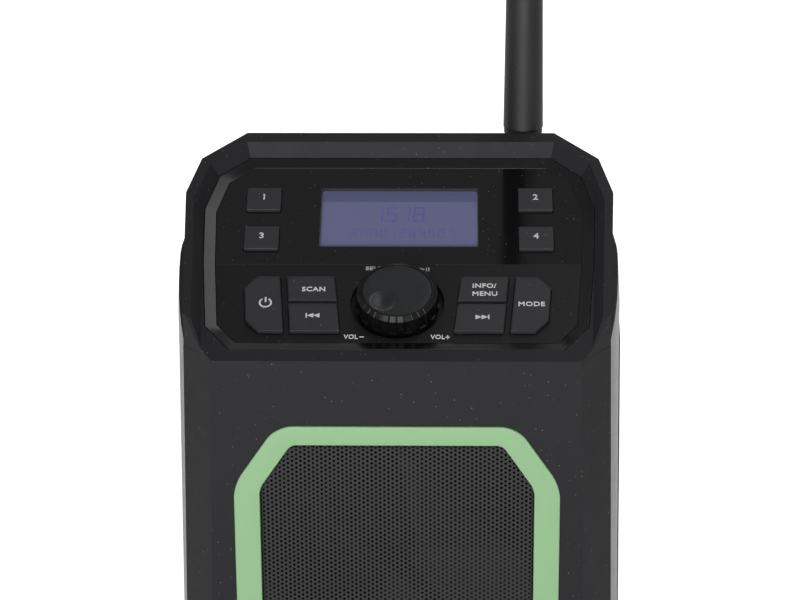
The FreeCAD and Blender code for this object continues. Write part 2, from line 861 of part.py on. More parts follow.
def make_rear_shell():
    """Rear shell: a deep tray with the antenna deck, hand grip, battery bay and socket recess."""
    body = new_body("rear_shell")
    grown_split = inset(SPLIT_SECTION, "-rear_proud")
    grown_rear = inset(REAR_SECTION, "-rear_proud")
    for outline in (grown_split, grown_rear):
        outline[0] = (outline[0][0], "base_z")
        outline[-1] = (outline[-1][0], "base_z")
    tapered = inset(grown_rear, "rear_taper")
    first = front_outline(body, "rear_first", grown_split, "split_depth")
    second = front_outline(body, "rear_second", grown_rear, "rear_full_depth")
    last = front_outline(body, "rear_last", tapered, BACK)
    loft(body, "rear_tray", [first, second, last])

    side_cut(body, "above_rear", [
        (behind_face("0"), "split_top"),
        (behind_face("split_depth"), "split_top"),
        (behind_face("hood_back"), "deck_z"),
        (behind_face(BACK + " - deck_edge"), "deck_z"),
        (behind_face("body_depth - trim_proud + deck_edge"), "deck_z - deck_edge * 2"),
        (behind_face("body_depth * 1.5"), "crown_z * 1.5"),
        (behind_face("0"), "crown_z * 1.5"),
    ])
    room = inset(tapered, "wall")
    for i in (5, 8):
        room[i] = (room[i][0], "deck_z - wall * 5")
    for i in (6, 7):
        room[i] = (room[i][0], "deck_z - wall")
    cavity = front_outline(body, "rear_cavity", room, "0")
    pocket(body, cavity, BACK + " - rear_wall")

    columns = new_sketch(body, "rear_columns", "front", "-" + behind_face("split_depth - seal_thick"))
    for x, z in boss_places():
        draw_circle(columns, x, z, "boss_radius")
    pad(body, columns, BACK + " - rear_wall - split_depth + seal_thick + 0.5", backwards=True)
    wells = new_sketch(body, "screw_wells", "front", "-" + behind_face("split_depth + screw_seat"))
    holes = new_sketch(body, "screw_holes", "front", "-" + behind_face("split_depth"))
    for x, z in boss_places():
        draw_circle(wells, x, z, "well_radius")
        draw_circle(holes, x, z, "screw_radius + screw_clearance")
    pocket(body, wells, "body_depth")
    pocket(body, holes, "screw_seat + 0.5")
    openings = new_sketch(body, "screw_entries", "front", "-" + behind_face("split_depth - seal_thick"))
    for x, z in boss_places():
        draw_circle(openings, x, z, "screw_radius + screw_clearance")
    pocket(body, openings, "seal_thick + 0.5")

    grip_low = "grip_z - grip_height / 2"
    grip_high = "grip_z + grip_height / 2"
    outer = front_outline(body, "grip_box", rectangle("-grip_half - wall", "grip_half + wall",
                                                      grip_low + " - wall", grip_high + " + wall"),
                          BACK + " - grip_depth - wall")
    pad(body, outer, "grip_depth + wall - rear_wall + 0.5", backwards=True)
    mouth = front_outline(body, "grip_mouth", rectangle("-grip_half", "grip_half", grip_low, grip_high),
                          BACK + " - grip_depth")
    pocket(body, mouth, "grip_depth + 2")

    door = front_outline(body, "door_recess", rectangle("-" + DOOR_EDGE, DOOR_EDGE, DOOR_FOOT, DOOR_TOP),
                         BACK + " - door_thick - door_gap")
    pocket(body, door, "door_thick + door_gap + 2")
    slot = front_outline(body, "door_hinge_slot",
                         rectangle("-" + DOOR_EDGE, DOOR_EDGE, DOOR_FOOT, DOOR_FOOT + " + (door_barrel + door_gap) * 2"),
                         BACK + " - door_barrel * 2 - door_gap")
    pocket(body, slot, "door_barrel * 2 + door_gap + 2")
    pins = new_sketch(body, "door_pin_holes", "side")
    draw_circle(pins, DOOR_AXIS_Y, DOOR_AXIS_Z, "door_pin + shaft_clearance")
    pocket(body, pins, "2 * (%s + door_pin_length + door_gap)" % DOOR_EDGE, both_ways=True)
    bay = front_outline(body, "bay_mouth", rectangle("-" + BAY_HALF, BAY_HALF, "bay_floor", BAY_TOP),
                        BACK + " - rear_wall - 1")
    pocket(body, bay, "rear_wall + 2")

    ports = front_outline(body, "port_recess", PORT_RECESS, BACK + " - port_cover_thick - port_gap")
    pocket(body, ports, "port_cover_thick + port_gap + 2")
    port_pins = new_sketch(body, "port_pin_holes", "side", "port_x")
    draw_circle(port_pins, PORT_AXIS_Y, PORT_AXIS_Z, "port_pin + shaft_clearance")
    pocket(body, port_pins, "2 * (port_half + door_pin_length)", both_ways=True)
    window = front_outline(body, "socket_window", SOCKET_WINDOW, BACK + " - rear_wall - 1")
    pocket(body, window, "rear_wall + 2")


DOOR_EDGE = "(%s + door_overlap)" % BAY_HALF
DOOR_TOP = "(%s + door_overlap)" % BAY_TOP
PORT_RECESS = rectangle("port_x - port_half", "port_x + port_half",
                        "port_z - port_height / 2", "port_z + port_height / 2")
SOCKET_WINDOW = rectangle("port_x - socket_half * 3 - socket_gap", "port_x + socket_half * 3 + socket_gap",
                          "port_z - socket_half", "port_z + socket_half")


def make_case_seal():
    """Case seal: a U-shaped gasket between the middle housing and the rear shell."""
    body = new_body("case_seal")
    outer = inset(SPLIT_SECTION, "seal_inset")
    inner = inset(SPLIT_SECTION, "seal_inset + seal_width")
    path = outer[10:14] + outer[0:4] + list(reversed(inner[0:4])) + list(reversed(inner[10:14]))
    for i in (0, 15, 7, 8):
        path[i] = (path[i][0], "split_top")
    ring = front_outline(body, "seal_outline", path, "split_depth")
    pad(body, ring, "seal_thick")


def ring_outline(body, name, plane_lift, outer, inner):
    """Sketch two nested outlines parallel to the body's own XY plane."""
    sketch = new_sketch(body, name, "plan", plane_lift)
    draw_loop(sketch, outer)
    draw_loop(sketch, inner)
    return sketch


def plan_loft_cut(body, name, low, low_lift, high, high_lift):
    """Remove a tapering prism between two heights."""
    first = new_sketch(body, name + "_low", "plan", low_lift)
    draw_loop(first, low)
    last = new_sketch(body, name + "_high", "plan", high_lift)
    draw_loop(last, high)
    return loft(body, name, [first, last], cut=True)


def make_bezel():
    """Glossy bezel: a ring dished towards the panel."""
    body = new_body("control_bezel")
    inner = inset(BEZEL, "bezel_width")
    ring = ring_outline(body, "bezel_ring", PANEL_BACK, BEZEL, inner)
    pad(body, ring, "ledge_depth")
    plan_loft_cut(body, "bezel_dish", inner, "-panel_sink", BEZEL, "0")
    place_on_panel(body)


def panel_halves():
    """Split the panel's outline into the display half and the control half."""
    edge = inset(BEZEL, "bezel_width + seam_gap")
    above = "gloss_edge + seam_gap / 2"
    below = "gloss_edge - seam_gap / 2"
    display = [(edge[2][0], above)] + edge[3:9] + [(edge[9][0], above)]
    control = edge[0:2] + [(edge[2][0], below), (edge[9][0], below)] + edge[10:12]
    return display, control


def preset_places():
    """List the four station keys: 1 and 2 in the upper row, 3 and 4 in the lower."""
    return [("-preset_x", "preset_high"), ("preset_x", "preset_high"),
            ("-preset_x", "preset_low"), ("preset_x", "preset_low")]


def preset_outline(x, along):
    """List a station key's opening."""
    return rectangle(x + " - preset_width / 2", x + " + preset_width / 2",
                     along + " - preset_height / 2", along + " + preset_height / 2")


def flip(corners):
    """Mirror an outline to the other side."""
    return [("-(%s)" % x, y) for x, y in reversed(corners)]


SPLIT_SHARE = "(keys_split - keys_front) / (keys_back - keys_front)"
INNER_SPLIT = "(inner_front_half + (inner_back_half - inner_front_half) * %s)" % SPLIT_SHARE
GROOVE_SPLIT = "(groove_front_half + (groove_back_half - groove_front_half) * %s)" % SPLIT_SHARE
UPPER_KEY = [(INNER_SPLIT, "keys_split + split_half"), (GROOVE_SPLIT, "keys_split + split_half"),
             ("groove_back_half", "keys_back"), ("inner_back_half", "keys_back")]
LOWER_KEY = [("inner_front_half", "keys_front"), ("groove_front_half", "keys_front"),
             (GROOVE_SPLIT, "keys_split - split_half"), (INNER_SPLIT, "keys_split - split_half")]
END_KEY = [("outer_front_half", "keys_front"), ("end_front_half", "keys_front"),
           ("end_low_half", "end_low"), ("end_high_half", "end_high"),
           ("end_back_half", "keys_back"), ("outer_back_half", "keys_back")]
MENU_KEYS = {
    "power_key": flip(END_KEY),
    "scan_key": flip(UPPER_KEY),
    "previous_key": flip(LOWER_KEY),
    "menu_key": UPPER_KEY,
    "next_key": LOWER_KEY,
    "mode_key": END_KEY,
}
KEY_CENTRES = {
    "power_key": ("-stem_end", "keys_split"),
    "scan_key": ("-stem_inner", "stem_high"),
    "previous_key": ("-stem_inner", "stem_low"),
    "menu_key": ("stem_inner", "stem_high"),
    "next_key": ("stem_inner", "stem_low"),
    "mode_key": ("stem_end", "keys_split"),
}


def make_panels():
    """Display panel and control plate, side by side in the bezel."""
    display, control = panel_halves()
    body = new_body("display_panel")
    sheet = new_sketch(body, "display_sheet", "plan", PANEL_BACK)
    draw_loop(sheet, display)
    draw_loop(sheet, rectangle("-screen_half", "screen_half", SCREEN_LOW, SCREEN_HIGH))
    for x, along in preset_places():
        draw_loop(sheet, preset_outline(x, along))
    pad(body, sheet, "ledge_depth - panel_sink")
    place_on_panel(body)

    body = new_body("control_plate")
    plate = new_sketch(body, "control_sheet", "plan", PANEL_BACK)
    draw_loop(plate, control)
    for corners in MENU_KEYS.values():
        draw_loop(plate, corners)
    pad(body, plate, "ledge_depth - panel_sink")
    cup = new_sketch(body, "dish_cup", "plan", "-panel_sink - dish_depth - dish_wall")
    draw_circle(cup, "0", "knob_mid", "dish_radius + dish_wall")
    pad(body, cup, "dish_depth + dish_wall")
    dish = new_sketch(body, "dish", "plan", "-panel_sink")
    draw_circle(dish, "0", "knob_mid", "dish_radius")
    pocket(body, dish, "dish_depth")
    hole = new_sketch(body, "shaft_hole", "plan", "0")
    draw_circle(hole, "0", "knob_mid", "shaft_radius + bezel_gap * 2")
    pocket(body, hole)
    place_on_panel(body)


SCREEN_LOW = "screen_mid - screen_height / 2"
SCREEN_HIGH = "screen_mid + screen_height / 2"


def make_screen():
    """Clear window flush with the panel, and the display behind it."""
    lens = new_body("screen_window")
    sheet = new_sketch(lens, "lens_outline", "plan", PANEL_BACK)
    draw_loop(sheet, rectangle("-screen_half + screen_gap", "screen_half - screen_gap",
                               SCREEN_LOW + " + screen_gap", SCREEN_HIGH + " - screen_gap"))
    pad(lens, sheet, "ledge_depth - panel_sink")
    place_on_panel(lens)
    display = new_body("screen_module")
    block = new_sketch(display, "module_outline", "plan", PANEL_BACK)
    draw_loop(block, rectangle("-screen_half - module_border", "screen_half + module_border",
                               SCREEN_LOW + " - module_border", SCREEN_HIGH + " + module_border"))
    pad(display, block, "module_thick", backwards=True)
    place_on_panel(display)


def make_key(label, opening, stem_x, stem_along, top):
    """One key: a cap in its opening, a flange under the plate and a stem to its switch."""
    body = new_body(label)
    under = "-ledge_depth - key_slack - key_flange_thick"
    stem = new_sketch(body, label + "_stem", "plan", STEM_FOOT)
    draw_circle(stem, stem_x, stem_along, "key_stem")
    pad(body, stem, "%s - (%s) + key_flange_thick / 2" % (under, STEM_FOOT))
    flange = new_sketch(body, label + "_flange", "plan", under)
    draw_loop(flange, inset(opening, "-key_flange"))
    pad(body, flange, "key_flange_thick")
    cap = new_sketch(body, label + "_cap", "plan", under)
    draw_loop(cap, inset(opening, "key_gap"))
    block = pad(body, cap, "%s - (%s)" % (top, under))
    dress(body, "Fillet", block, [highest_face(block, (0, 0, 1))], "Radius", "key_edge")
    place_on_panel(body)


STEM_FOOT = "(-board_drop + switch_height + switch_button + key_travel + bezel_gap)"


def make_keys():
    """Four station keys and six menu keys."""
    for number, (x, along) in enumerate(preset_places(), start=1):
        make_key("station_key_%d" % number, preset_outline(x, along), x, along, "preset_proud - panel_sink")
    for label, opening in MENU_KEYS.items():
        x, along = KEY_CENTRES[label]
        make_key(label, opening, x, along, "key_proud - panel_sink")


def make_control_board():
    """Board under the panel with its switches and screws."""
    body = new_body("control_board")
    sheet = new_sketch(body, "board_sheet", "plan", "-board_drop")
    draw_loop(sheet, rectangle("-board_half", "board_half", "board_front", "board_back"))
    for x in ("post_x", "-post_x"):
        for along in ("post_low", "post_high"):
            draw_circle(sheet, x, along, "pilot_radius + 0.2")
    pad(body, sheet, "board_thick", backwards=True)
    place_on_panel(body)

    parts = []
    stems = preset_places() + list(KEY_CENTRES.values())
    for number, (x, along) in enumerate(stems, start=1):
        can = box("switch_can_%d" % number, "switch_side", "switch_side", "switch_height",
                  x + " - switch_side / 2", along + " - switch_side / 2", "-board_drop")
        button = cylinder("switch_button_%d" % number, "key_stem", "switch_button",
                          x, along, "-board_drop + switch_height")
        parts.append(fused("switch_%d" % number, [can, button]))
    place_on_panel(compound("key_switches", parts))

    parts = []
    for x in ("post_x", "-post_x"):
        for along in ("post_low", "post_high"):
            parts.append(screw("board_screw", "post_radius - 0.2", "pilot_radius * 1.5", "pilot_radius - 0.1",
                               "board_thick + pilot_radius * 4", x, along, "-board_drop - board_thick"))
    place_on_panel(compound("board_screws", parts))


def fused(name, parts):
    """Join primitives to one solid."""
    item = doc.addObject("Part::MultiFuse", name)
    item.Shapes = parts
    return item


def screw(name, head_radius, head, shank_radius, length, x, y, z, facing_front=False):
    """Make a round-headed screw with its seat at a point and its shank along +Z or -Y."""
    cap = doc.addObject("Part::Cylinder", name + "_head")
    shank = doc.addObject("Part::Cylinder", name + "_shank")
    for item, radius, height in ((cap, head_radius, head), (shank, shank_radius, length)):
        bind(item, "Radius", radius)
        bind(item, "Height", height)
    if facing_front:
        place_facing_back(cap, x, y, z)
        place(shank, x, "%s - (%s)" % (y, length), z, (1, 0, 0), "-90")
    else:
        place(cap, x, y, "%s - (%s)" % (z, head))
        place(shank, x, y, z)
    return fused(name, [cap, shank])


def place_on_knob(body):
    """Set a turned piece on the knob's axis."""
    y, z = panel_point("knob_mid", "0")
    place(body, "0", y, z, (1, 0, 0), "panel_angle")


def make_knob():
    """Rotary knob: grip, face cap with its finger dimple, shaft, encoder and push plunger."""
    foot = "(-panel_sink - dish_depth + knob_lift)"
    top = "(knob_rise - panel_sink)"
    grip = new_body("knob_grip")
    profile = [
        ("shaft_radius + 0.02", foot),
        ("knob_radius", foot),
        ("knob_radius", "knob_rise * 0.34"),
        ("knob_shoulder_radius", "%s - cap_recess * 2.4" % top),
        ("knob_face_radius", top),
        ("knob_face_radius - knob_rim_width", top),
        ("knob_face_radius - knob_rim_width", top + " - cap_thick"),
        ("shaft_radius + 0.02", top + " - cap_thick"),
    ]
    turned = revolve(grip, "grip_form", profile)
    flute = new_sketch(grip, "grip_flute", "plan", foot)
    draw_circle(flute, "knob_radius + flute_radius * 0.55", "0", "flute_radius")
    pocket(grip, flute, "knob_rise * 0.34 + panel_sink + dish_depth", backwards=True)
    ring = grip.newObject("PartDesign::PolarPattern", "grip_flutes")
    ring.Originals = [grip.Tip]
    ring.Axis = (flute, ["N_Axis"])
    ring.Angle = 360.0
    bind(ring, "Occurrences", "flute_count")
    grip.Tip = ring
    doc.recompute()
    place_on_knob(grip)

    cap = new_body("knob_cap")
    revolve(cap, "cap_form", [
        ("0", top + " - cap_thick"),
        ("knob_face_radius - knob_rim_width - 0.02", top + " - cap_thick"),
        ("knob_face_radius - knob_rim_width - 0.02", top + " - cap_recess"),
        ("0", top + " - cap_recess"),
    ])
    ball = cap.newObject("PartDesign::SubtractiveSphere", "finger_dimple")
    rise = "(dimple_radius * dimple_radius - dimple_depth * dimple_depth) / (2 * dimple_depth)"
    ball_radius = "(dimple_radius * dimple_radius + dimple_depth * dimple_depth) / (2 * dimple_depth)"
    bind(ball, "Radius", ball_radius)
    spot = ("-dimple_offset * 0.688", "-dimple_offset * 0.725", "%s - cap_recess + %s" % (top, rise))
    ball.Placement = FreeCAD.Placement(FreeCAD.Vector(*[size(t) for t in spot]), FreeCAD.Rotation())
    for axis, text in zip("xyz", spot):
        bind(ball, "Placement.Base." + axis, text)
    doc.recompute()
    place_on_knob(cap)

    shaft = new_body("encoder_shaft")
    revolve(shaft, "shaft_form", [
        ("0", PLUNGER_TOP + " + bezel_gap"),
        ("shaft_radius", PLUNGER_TOP + " + bezel_gap"),
        ("shaft_radius", top + " - cap_thick"),
        ("0", top + " - cap_thick"),
    ])
    place_on_knob(shaft)

    encoder = new_body("encoder_body")
    case = new_sketch(encoder, "encoder_case", "plan", "-board_drop")
    draw_loop(case, rectangle("-encoder_side / 2", "encoder_side / 2", "-encoder_side / 2", "encoder_side / 2"))
    pad(encoder, case, "encoder_height")
    neck = new_sketch(encoder, "encoder_neck", "plan", "-board_drop")
    draw_circle(neck, "0", "0", "bushing_radius")
    pad(encoder, neck, "board_drop - panel_sink - dish_depth - dish_wall - key_slack")
    bore = new_sketch(encoder, "encoder_bore", "plan", "0")
    draw_circle(bore, "0", "0", "shaft_radius + shaft_clearance")
    pocket(encoder, bore)
    place_on_knob(encoder)

    plunger = new_body("select_plunger")
    revolve(plunger, "plunger_form", [
        ("0", "-board_drop + push_travel + 0.2"),
        ("plunger_radius", "-board_drop + push_travel + 0.2"),
        ("plunger_radius", PLUNGER_TOP),
        ("0", PLUNGER_TOP),
    ])
    place_on_knob(plunger)


PLUNGER_TOP = "(-board_drop + push_travel + plunger_height)"


def edges_along_depth(feature):
    """Name the straight edges that run from front to back."""
    names = []
    for i, edge in enumerate(feature.Shape.Edges, start=1):
        ends = edge.Vertexes
        if len(ends) < 2:
            continue
        way = ends[1].Point - ends[0].Point
        if abs(way.x) + abs(way.z) < SMALL_LENGTH < abs(way.y):
            names.append("Edge%d" % i)
    return names


def make_speaker_front():
    """Coloured trim ring and the perforated grille that it holds."""
    trim = new_body("speaker_trim")
    ring = front_outline(trim, "trim_ring", trim_shape("trim", "0"), "-trim_proud")
    draw_loop(ring, trim_shape("grille", "0"))
    flange = pad(trim, ring, "trim_proud", backwards=True)
    dress(trim, "Fillet", flange, edges_along_depth(flange), "Radius", "trim_round")
    edge = trim.Tip
    dress(trim, "Chamfer", edge, [highest_face(edge, (0, -1, 0))], "Size", "trim_edge")
    skirt = front_outline(trim, "trim_skirt_ring", trim_shape("grille", "-trim_skirt"), "0")
    draw_loop(skirt, trim_shape("grille", "-trim_skirt / 2"))
    pad(trim, skirt, "grille_back - grille_thick", backwards=True)

    grille = new_body("speaker_grille")
    outline = front_outline(grille, "grille_sheet", trim_shape("grille", "-grille_margin"), "grille_back - grille_thick")
    pad(grille, outline, "grille_thick", backwards=True)
    pitch = size("grille_pitch")
    row_step = pitch * math.cos(math.radians(30))
    edge_gap = size("grille_hole") * 1.6
    half = size("grille_half")
    tall = size("grille_half_height")
    slope = size("grille_cut_x") / size("grille_cut_z")
    rows = int((tall - edge_gap) / row_step)
    for row in range(-rows, rows + 1):
        height = abs(row) * row_step
        beyond = max(0.0, height + edge_gap - (tall - size("grille_cut_z")))
        room = half - edge_gap - beyond * slope
        shift = 0.5 if row % 2 else 0.0
        steps = int(room / pitch - shift)
        first = -(steps + shift)
        count = int(2 * (steps + shift)) + 1
        holes = new_sketch(grille, "hole_row_%d" % (row + rows), "front", "-" + FACE)
        height = "speaker_z + grille_pitch * %.6f" % (row * math.cos(math.radians(30)))
        for i in range(count):
            draw_loop(holes, hexagon("grille_pitch * (%.1f)" % (first + i), height, "grille_hole"))
        pocket(grille, holes, "grille_back * 2")


def hexagon(x, y, radius):
    """List a six-cornered hole standing on a flat."""
    corners = []
    for i in range(6):
        turn = math.radians(60 * i)
        corners.append(("%s + %s * (%.6f)" % (x, radius, math.cos(turn)),
                        "%s + %s * (%.6f)" % (y, radius, math.sin(turn))))
    return corners


def speaker_piece(label, corners, depth="front_wall + gasket_thick"):
    """Turn one piece of the speaker about its axis, with heights counted backwards."""
    body = new_body(label)
    revolve(body, label + "_form", corners)
    place_facing_back(body, "0", behind_face(depth), "speaker_z")
    return body


def flange_holes(body, thick):
    """Drill the four screw holes of a flange or gasket."""
    holes = new_sketch(body, "flange_holes", "plan", "0")
    arm = "speaker_screw_radius * 0.70711"
    for x, y in ((arm, arm), ("-" + arm, arm), ("-" + arm, "-" + arm), (arm, "-" + arm)):
        draw_circle(holes, x, y, "pilot_radius + 0.2")
    pocket(body, holes, thick, backwards=True)


def make_speaker():
    """Speaker: gasket, basket, cone, dust cap, voice coil, magnet and screws."""
    gasket = speaker_piece("speaker_gasket", [
        ("baffle_radius + 1.4", "0"),
        ("flange_radius", "0"),
        ("flange_radius", "gasket_thick"),
        ("baffle_radius + 1.4", "gasket_thick"),
    ], "front_wall")
    flange_holes(gasket, "gasket_thick")
    basket = speaker_piece("speaker_basket", [
        ("baffle_radius + 1.4", "0"),
        ("flange_radius", "0"),
        ("flange_radius", "flange_thick"),
        ("baffle_radius + 2.6", "flange_thick"),
        ("basket_back_radius + basket_wall", "basket_depth"),
        ("coil_radius + 1.8", "basket_depth"),
        ("coil_radius + 1.8", "basket_depth - basket_wall"),
        ("basket_back_radius", "basket_depth - basket_wall"),
        ("baffle_radius + 1.4", "flange_thick * 0.7"),
    ])
    window = new_sketch(basket, "basket_window", "side", "0")
    draw_loop(window, rectangle("-basket_back_radius * 0.62", "basket_back_radius * 0.62",
                                "flange_thick * 3", "basket_depth - basket_wall * 4"))
    cut = pocket(basket, window, "flange_radius")
    ring = basket.newObject("PartDesign::PolarPattern", "basket_windows")
    ring.Originals = [cut]
    ring.Axis = (basket.Group[0], ["V_Axis"])
    ring.Angle = 360.0
    ring.Occurrences = 4
    basket.Tip = ring
    doc.recompute()
    flange_holes(basket, "flange_thick")

    speaker_piece("speaker_cone", [
        ("baffle_radius + 1.2", "cone_thick"),
        ("baffle_radius + 1.2", "0"),
        ("baffle_radius - surround_width * 0.4", "-gasket_thick * 0.8"),
        ("baffle_radius - surround_width", "0"),
        ("coil_radius + 0.2", "cone_depth"),
        ("coil_radius + 0.2", "cone_depth + cone_thick * 1.2"),
        ("baffle_radius - surround_width - 0.4", "cone_thick * 1.2"),
        ("baffle_radius - surround_width * 0.4", "cone_thick - gasket_thick * 0.8"),
    ])
    speaker_piece("dust_cap", [
        ("0", "cone_depth - 5.5"),
        ("coil_radius * 0.4", "cone_depth - 4.9"),
        ("coil_radius * 0.75", "cone_depth - 3"),
        ("coil_radius", "cone_depth"),
        ("coil_radius", "cone_depth + cone_thick"),
        ("coil_radius * 0.73", "cone_depth - 3 + cone_thick"),
        ("coil_radius * 0.38", "cone_depth - 4.9 + cone_thick"),
        ("0", "cone_depth - 5.5 + cone_thick"),
    ])
    speaker_piece("voice_coil", [
        ("coil_radius - coil_thick", "cone_depth + cone_thick"),
        ("coil_radius", "cone_depth + cone_thick"),
        ("coil_radius", "cone_depth + coil_length"),
        ("coil_radius - coil_thick", "cone_depth + coil_length"),
    ])
    speaker_piece("speaker_magnet", [
        ("0", "basket_depth + 1"),
        ("coil_radius - coil_thick - 0.6", "basket_depth + 1"),
        ("coil_radius - coil_thick - 0.6", "basket_depth + 7"),
        ("coil_radius + 0.7", "basket_depth + 7"),
        ("coil_radius + 0.7", "basket_depth"),
        ("magnet_radius", "basket_depth"),
        ("magnet_radius", "basket_depth + magnet_thick"),
        ("0", "basket_depth + magnet_thick"),
    ])
    parts = []
    for x, z in speaker_screw_places():
        parts.append(screw("speaker_screw", "pilot_radius * 1.5", "pilot_radius * 1.6", "pilot_radius - 0.1",
                           "flange_thick + gasket_thick + 2", x,
                           behind_face("front_wall + gasket_thick + flange_thick"), z, facing_front=True))
    compound("speaker_screws", parts)


def make_battery_bay():
    """Battery tray, four cells, contact springs, hinged door and the main board."""
    tray = new_body("battery_tray")
    mouth = BACK + " - rear_wall"
    outer = rectangle("-%s - tray_wall" % BAY_HALF, "%s + tray_wall" % BAY_HALF,
                      "bay_floor - tray_wall", "%s + tray_wall" % BAY_TOP)
    block = front_outline(tray, "tray_block", outer, mouth)
    pad(tray, block, "tray_depth")
    inside = front_outline(tray, "tray_inside", rectangle("-" + BAY_HALF, BAY_HALF, "bay_floor", BAY_TOP),
                           mouth + " - tray_depth + tray_wall")
    pocket(tray, inside, "tray_depth")
    posts = front_outline(tray, "tray_posts", [], mouth + " - tray_depth")
    for x in ("main_board_half - 6", "-(main_board_half - 6)"):
        for z in ("main_board_z - main_board_height / 2 + 6", "main_board_z + main_board_height / 2 - 6"):
            draw_circle(posts, x, z, "post_radius")
    pad(tray, posts, "standoff")

    parts = []
    reach = mouth + " - tray_depth + tray_wall + cell_gap"
    for row in ("0", "1"):
        z = "bay_floor + cell_gap + cell_diameter / 2 + (cell_diameter + cell_gap) * " + row
        for side in ("-", ""):
            x = "-cell_length" if side else "cell_gap / 2"
            cell = doc.addObject("Part::Cylinder", "cell_can")
            bind(cell, "Radius", "cell_diameter / 2")
            bind(cell, "Height", "cell_length - 1.8")
            place(cell, x, behind_face(reach + " + cell_diameter / 2"), z, (0, 1, 0), "90")
            tip = doc.addObject("Part::Cylinder", "cell_tip")
            bind(tip, "Radius", "cell_diameter * 0.14")
            bind(tip, "Height", "1.5")
            place(tip, x + " + cell_length - 1.8", behind_face(reach + " + cell_diameter / 2"), z, (0, 1, 0), "90")
            parts.append(fused("cell", [cell, tip]))
    compound("battery_cells", parts)

    parts = []
    for sign in ("-", ""):
        for row in ("0", "1"):
            low = "bay_floor + cell_gap + 4 + (cell_diameter + cell_gap) * " + row
            x = "-" + BAY_HALF if sign else BAY_HALF + " - contact_thick"
            parts.append(box("contact_plate", "contact_thick", "cell_diameter - 8", "cell_diameter - 8",
                             x, behind_face(reach + " + 4"), low))
    compound("battery_contacts", parts)

    door = new_body("battery_door")
    edge = DOOR_EDGE + " - door_gap"
    plate = front_outline(door, "door_plate", rectangle("-(%s)" % edge, edge, DOOR_AXIS_Z, DOOR_TOP + " - door_gap"),
                          BACK + " - door_thick")
    pad(door, plate, "door_thick", backwards=True)
    barrel = new_sketch(door, "door_barrel_round", "side")
    draw_circle(barrel, DOOR_AXIS_Y, DOOR_AXIS_Z, "door_barrel")
    pad(door, barrel, "2 * (%s)" % edge, both_ways=True)
    pin = new_sketch(door, "door_pins", "side")
    draw_circle(pin, DOOR_AXIS_Y, DOOR_AXIS_Z, "door_pin")
    pad(door, pin, "2 * (%s + door_pin_length)" % edge, both_ways=True)

    board = new_body("main_board")
    sheet = front_outline(board, "main_board_sheet", rectangle(
        "-main_board_half", "main_board_half",
        "main_board_z - main_board_height / 2", "main_board_z + main_board_height / 2"),
        mouth + " - tray_depth - standoff")
    pad(board, sheet, "board_thick")
    chips = front_outline(board, "main_board_chips", rectangle(
        "-main_board_half / 3", "main_board_half / 3",
        "main_board_z - main_board_height / 5", "main_board_z + main_board_height / 4"),
        mouth + " - tray_depth - standoff - board_thick")
    pad(board, chips, "board_thick * 2")


def make_sockets():
    """Power, sound and charging sockets on their board, and the hinged cover over them."""
    board = new_body("socket_board")
    sheet = front_outline(board, "socket_board_sheet", rectangle(
        "port_x - port_half", "port_x + port_half",
        "port_z - port_height / 2", "port_z + port_height / 2"), BACK + " - rear_wall - socket_depth")
    pad(board, sheet, "board_thick")
    seat = BACK + " - rear_wall - socket_depth"
    shapes = {"power_socket": ("-2", "socket_half"), "sound_socket": ("0", "socket_half"), "charge_socket": ("2", "socket_half")}
    for label, (step, half) in shapes.items():
        body = new_body(label)
        x = "(port_x + %s * (socket_half + socket_gap / 2))" % step
        block = front_outline(body, label + "_block", rectangle(
            "%s - %s" % (x, half), "%s + %s" % (x, half), "port_z - socket_half + 0.2", "port_z + socket_half - 0.2"), seat)
        pad(body, block, "socket_depth + rear_wall - port_cover_thick - port_gap", backwards=True)
        mouth = front_outline(body, label + "_mouth", [], BACK + " - rear_wall - socket_depth / 2")
        if label == "charge_socket":
            draw_loop(mouth, rectangle(x + " - socket_half * 0.75", x + " + socket_half * 0.75",
                                       "port_z - socket_half * 0.32", "port_z + socket_half * 0.32"))
        else:
            radius = "socket_half * 0.5" if label == "power_socket" else "socket_half * 0.4"
            draw_circle(mouth, x, "port_z", radius)
        pocket(body, mouth, "body_depth")

    cover = new_body("port_cover")
    edge = rectangle("port_x - port_half + port_gap", "port_x + port_half - port_gap",
                     PORT_AXIS_Z, "port_z + port_height / 2 - port_gap")
    plate = front_outline(cover, "cover_plate", edge, BACK + " - port_cover_thick")
    pad(cover, plate, "port_cover_thick", backwards=True)
    barrel = new_sketch(cover, "cover_barrel", "side", "port_x")
    draw_circle(barrel, PORT_AXIS_Y, PORT_AXIS_Z, "port_barrel")
    pad(cover, barrel, "2 * (port_half - port_gap)", both_ways=True)
    pin = new_sketch(cover, "cover_pins", "side", "port_x")
    draw_circle(pin, PORT_AXIS_Y, PORT_AXIS_Z, "port_pin")
    pad(cover, pin, "2 * (port_half + door_pin_length - port_gap)", both_ways=True)


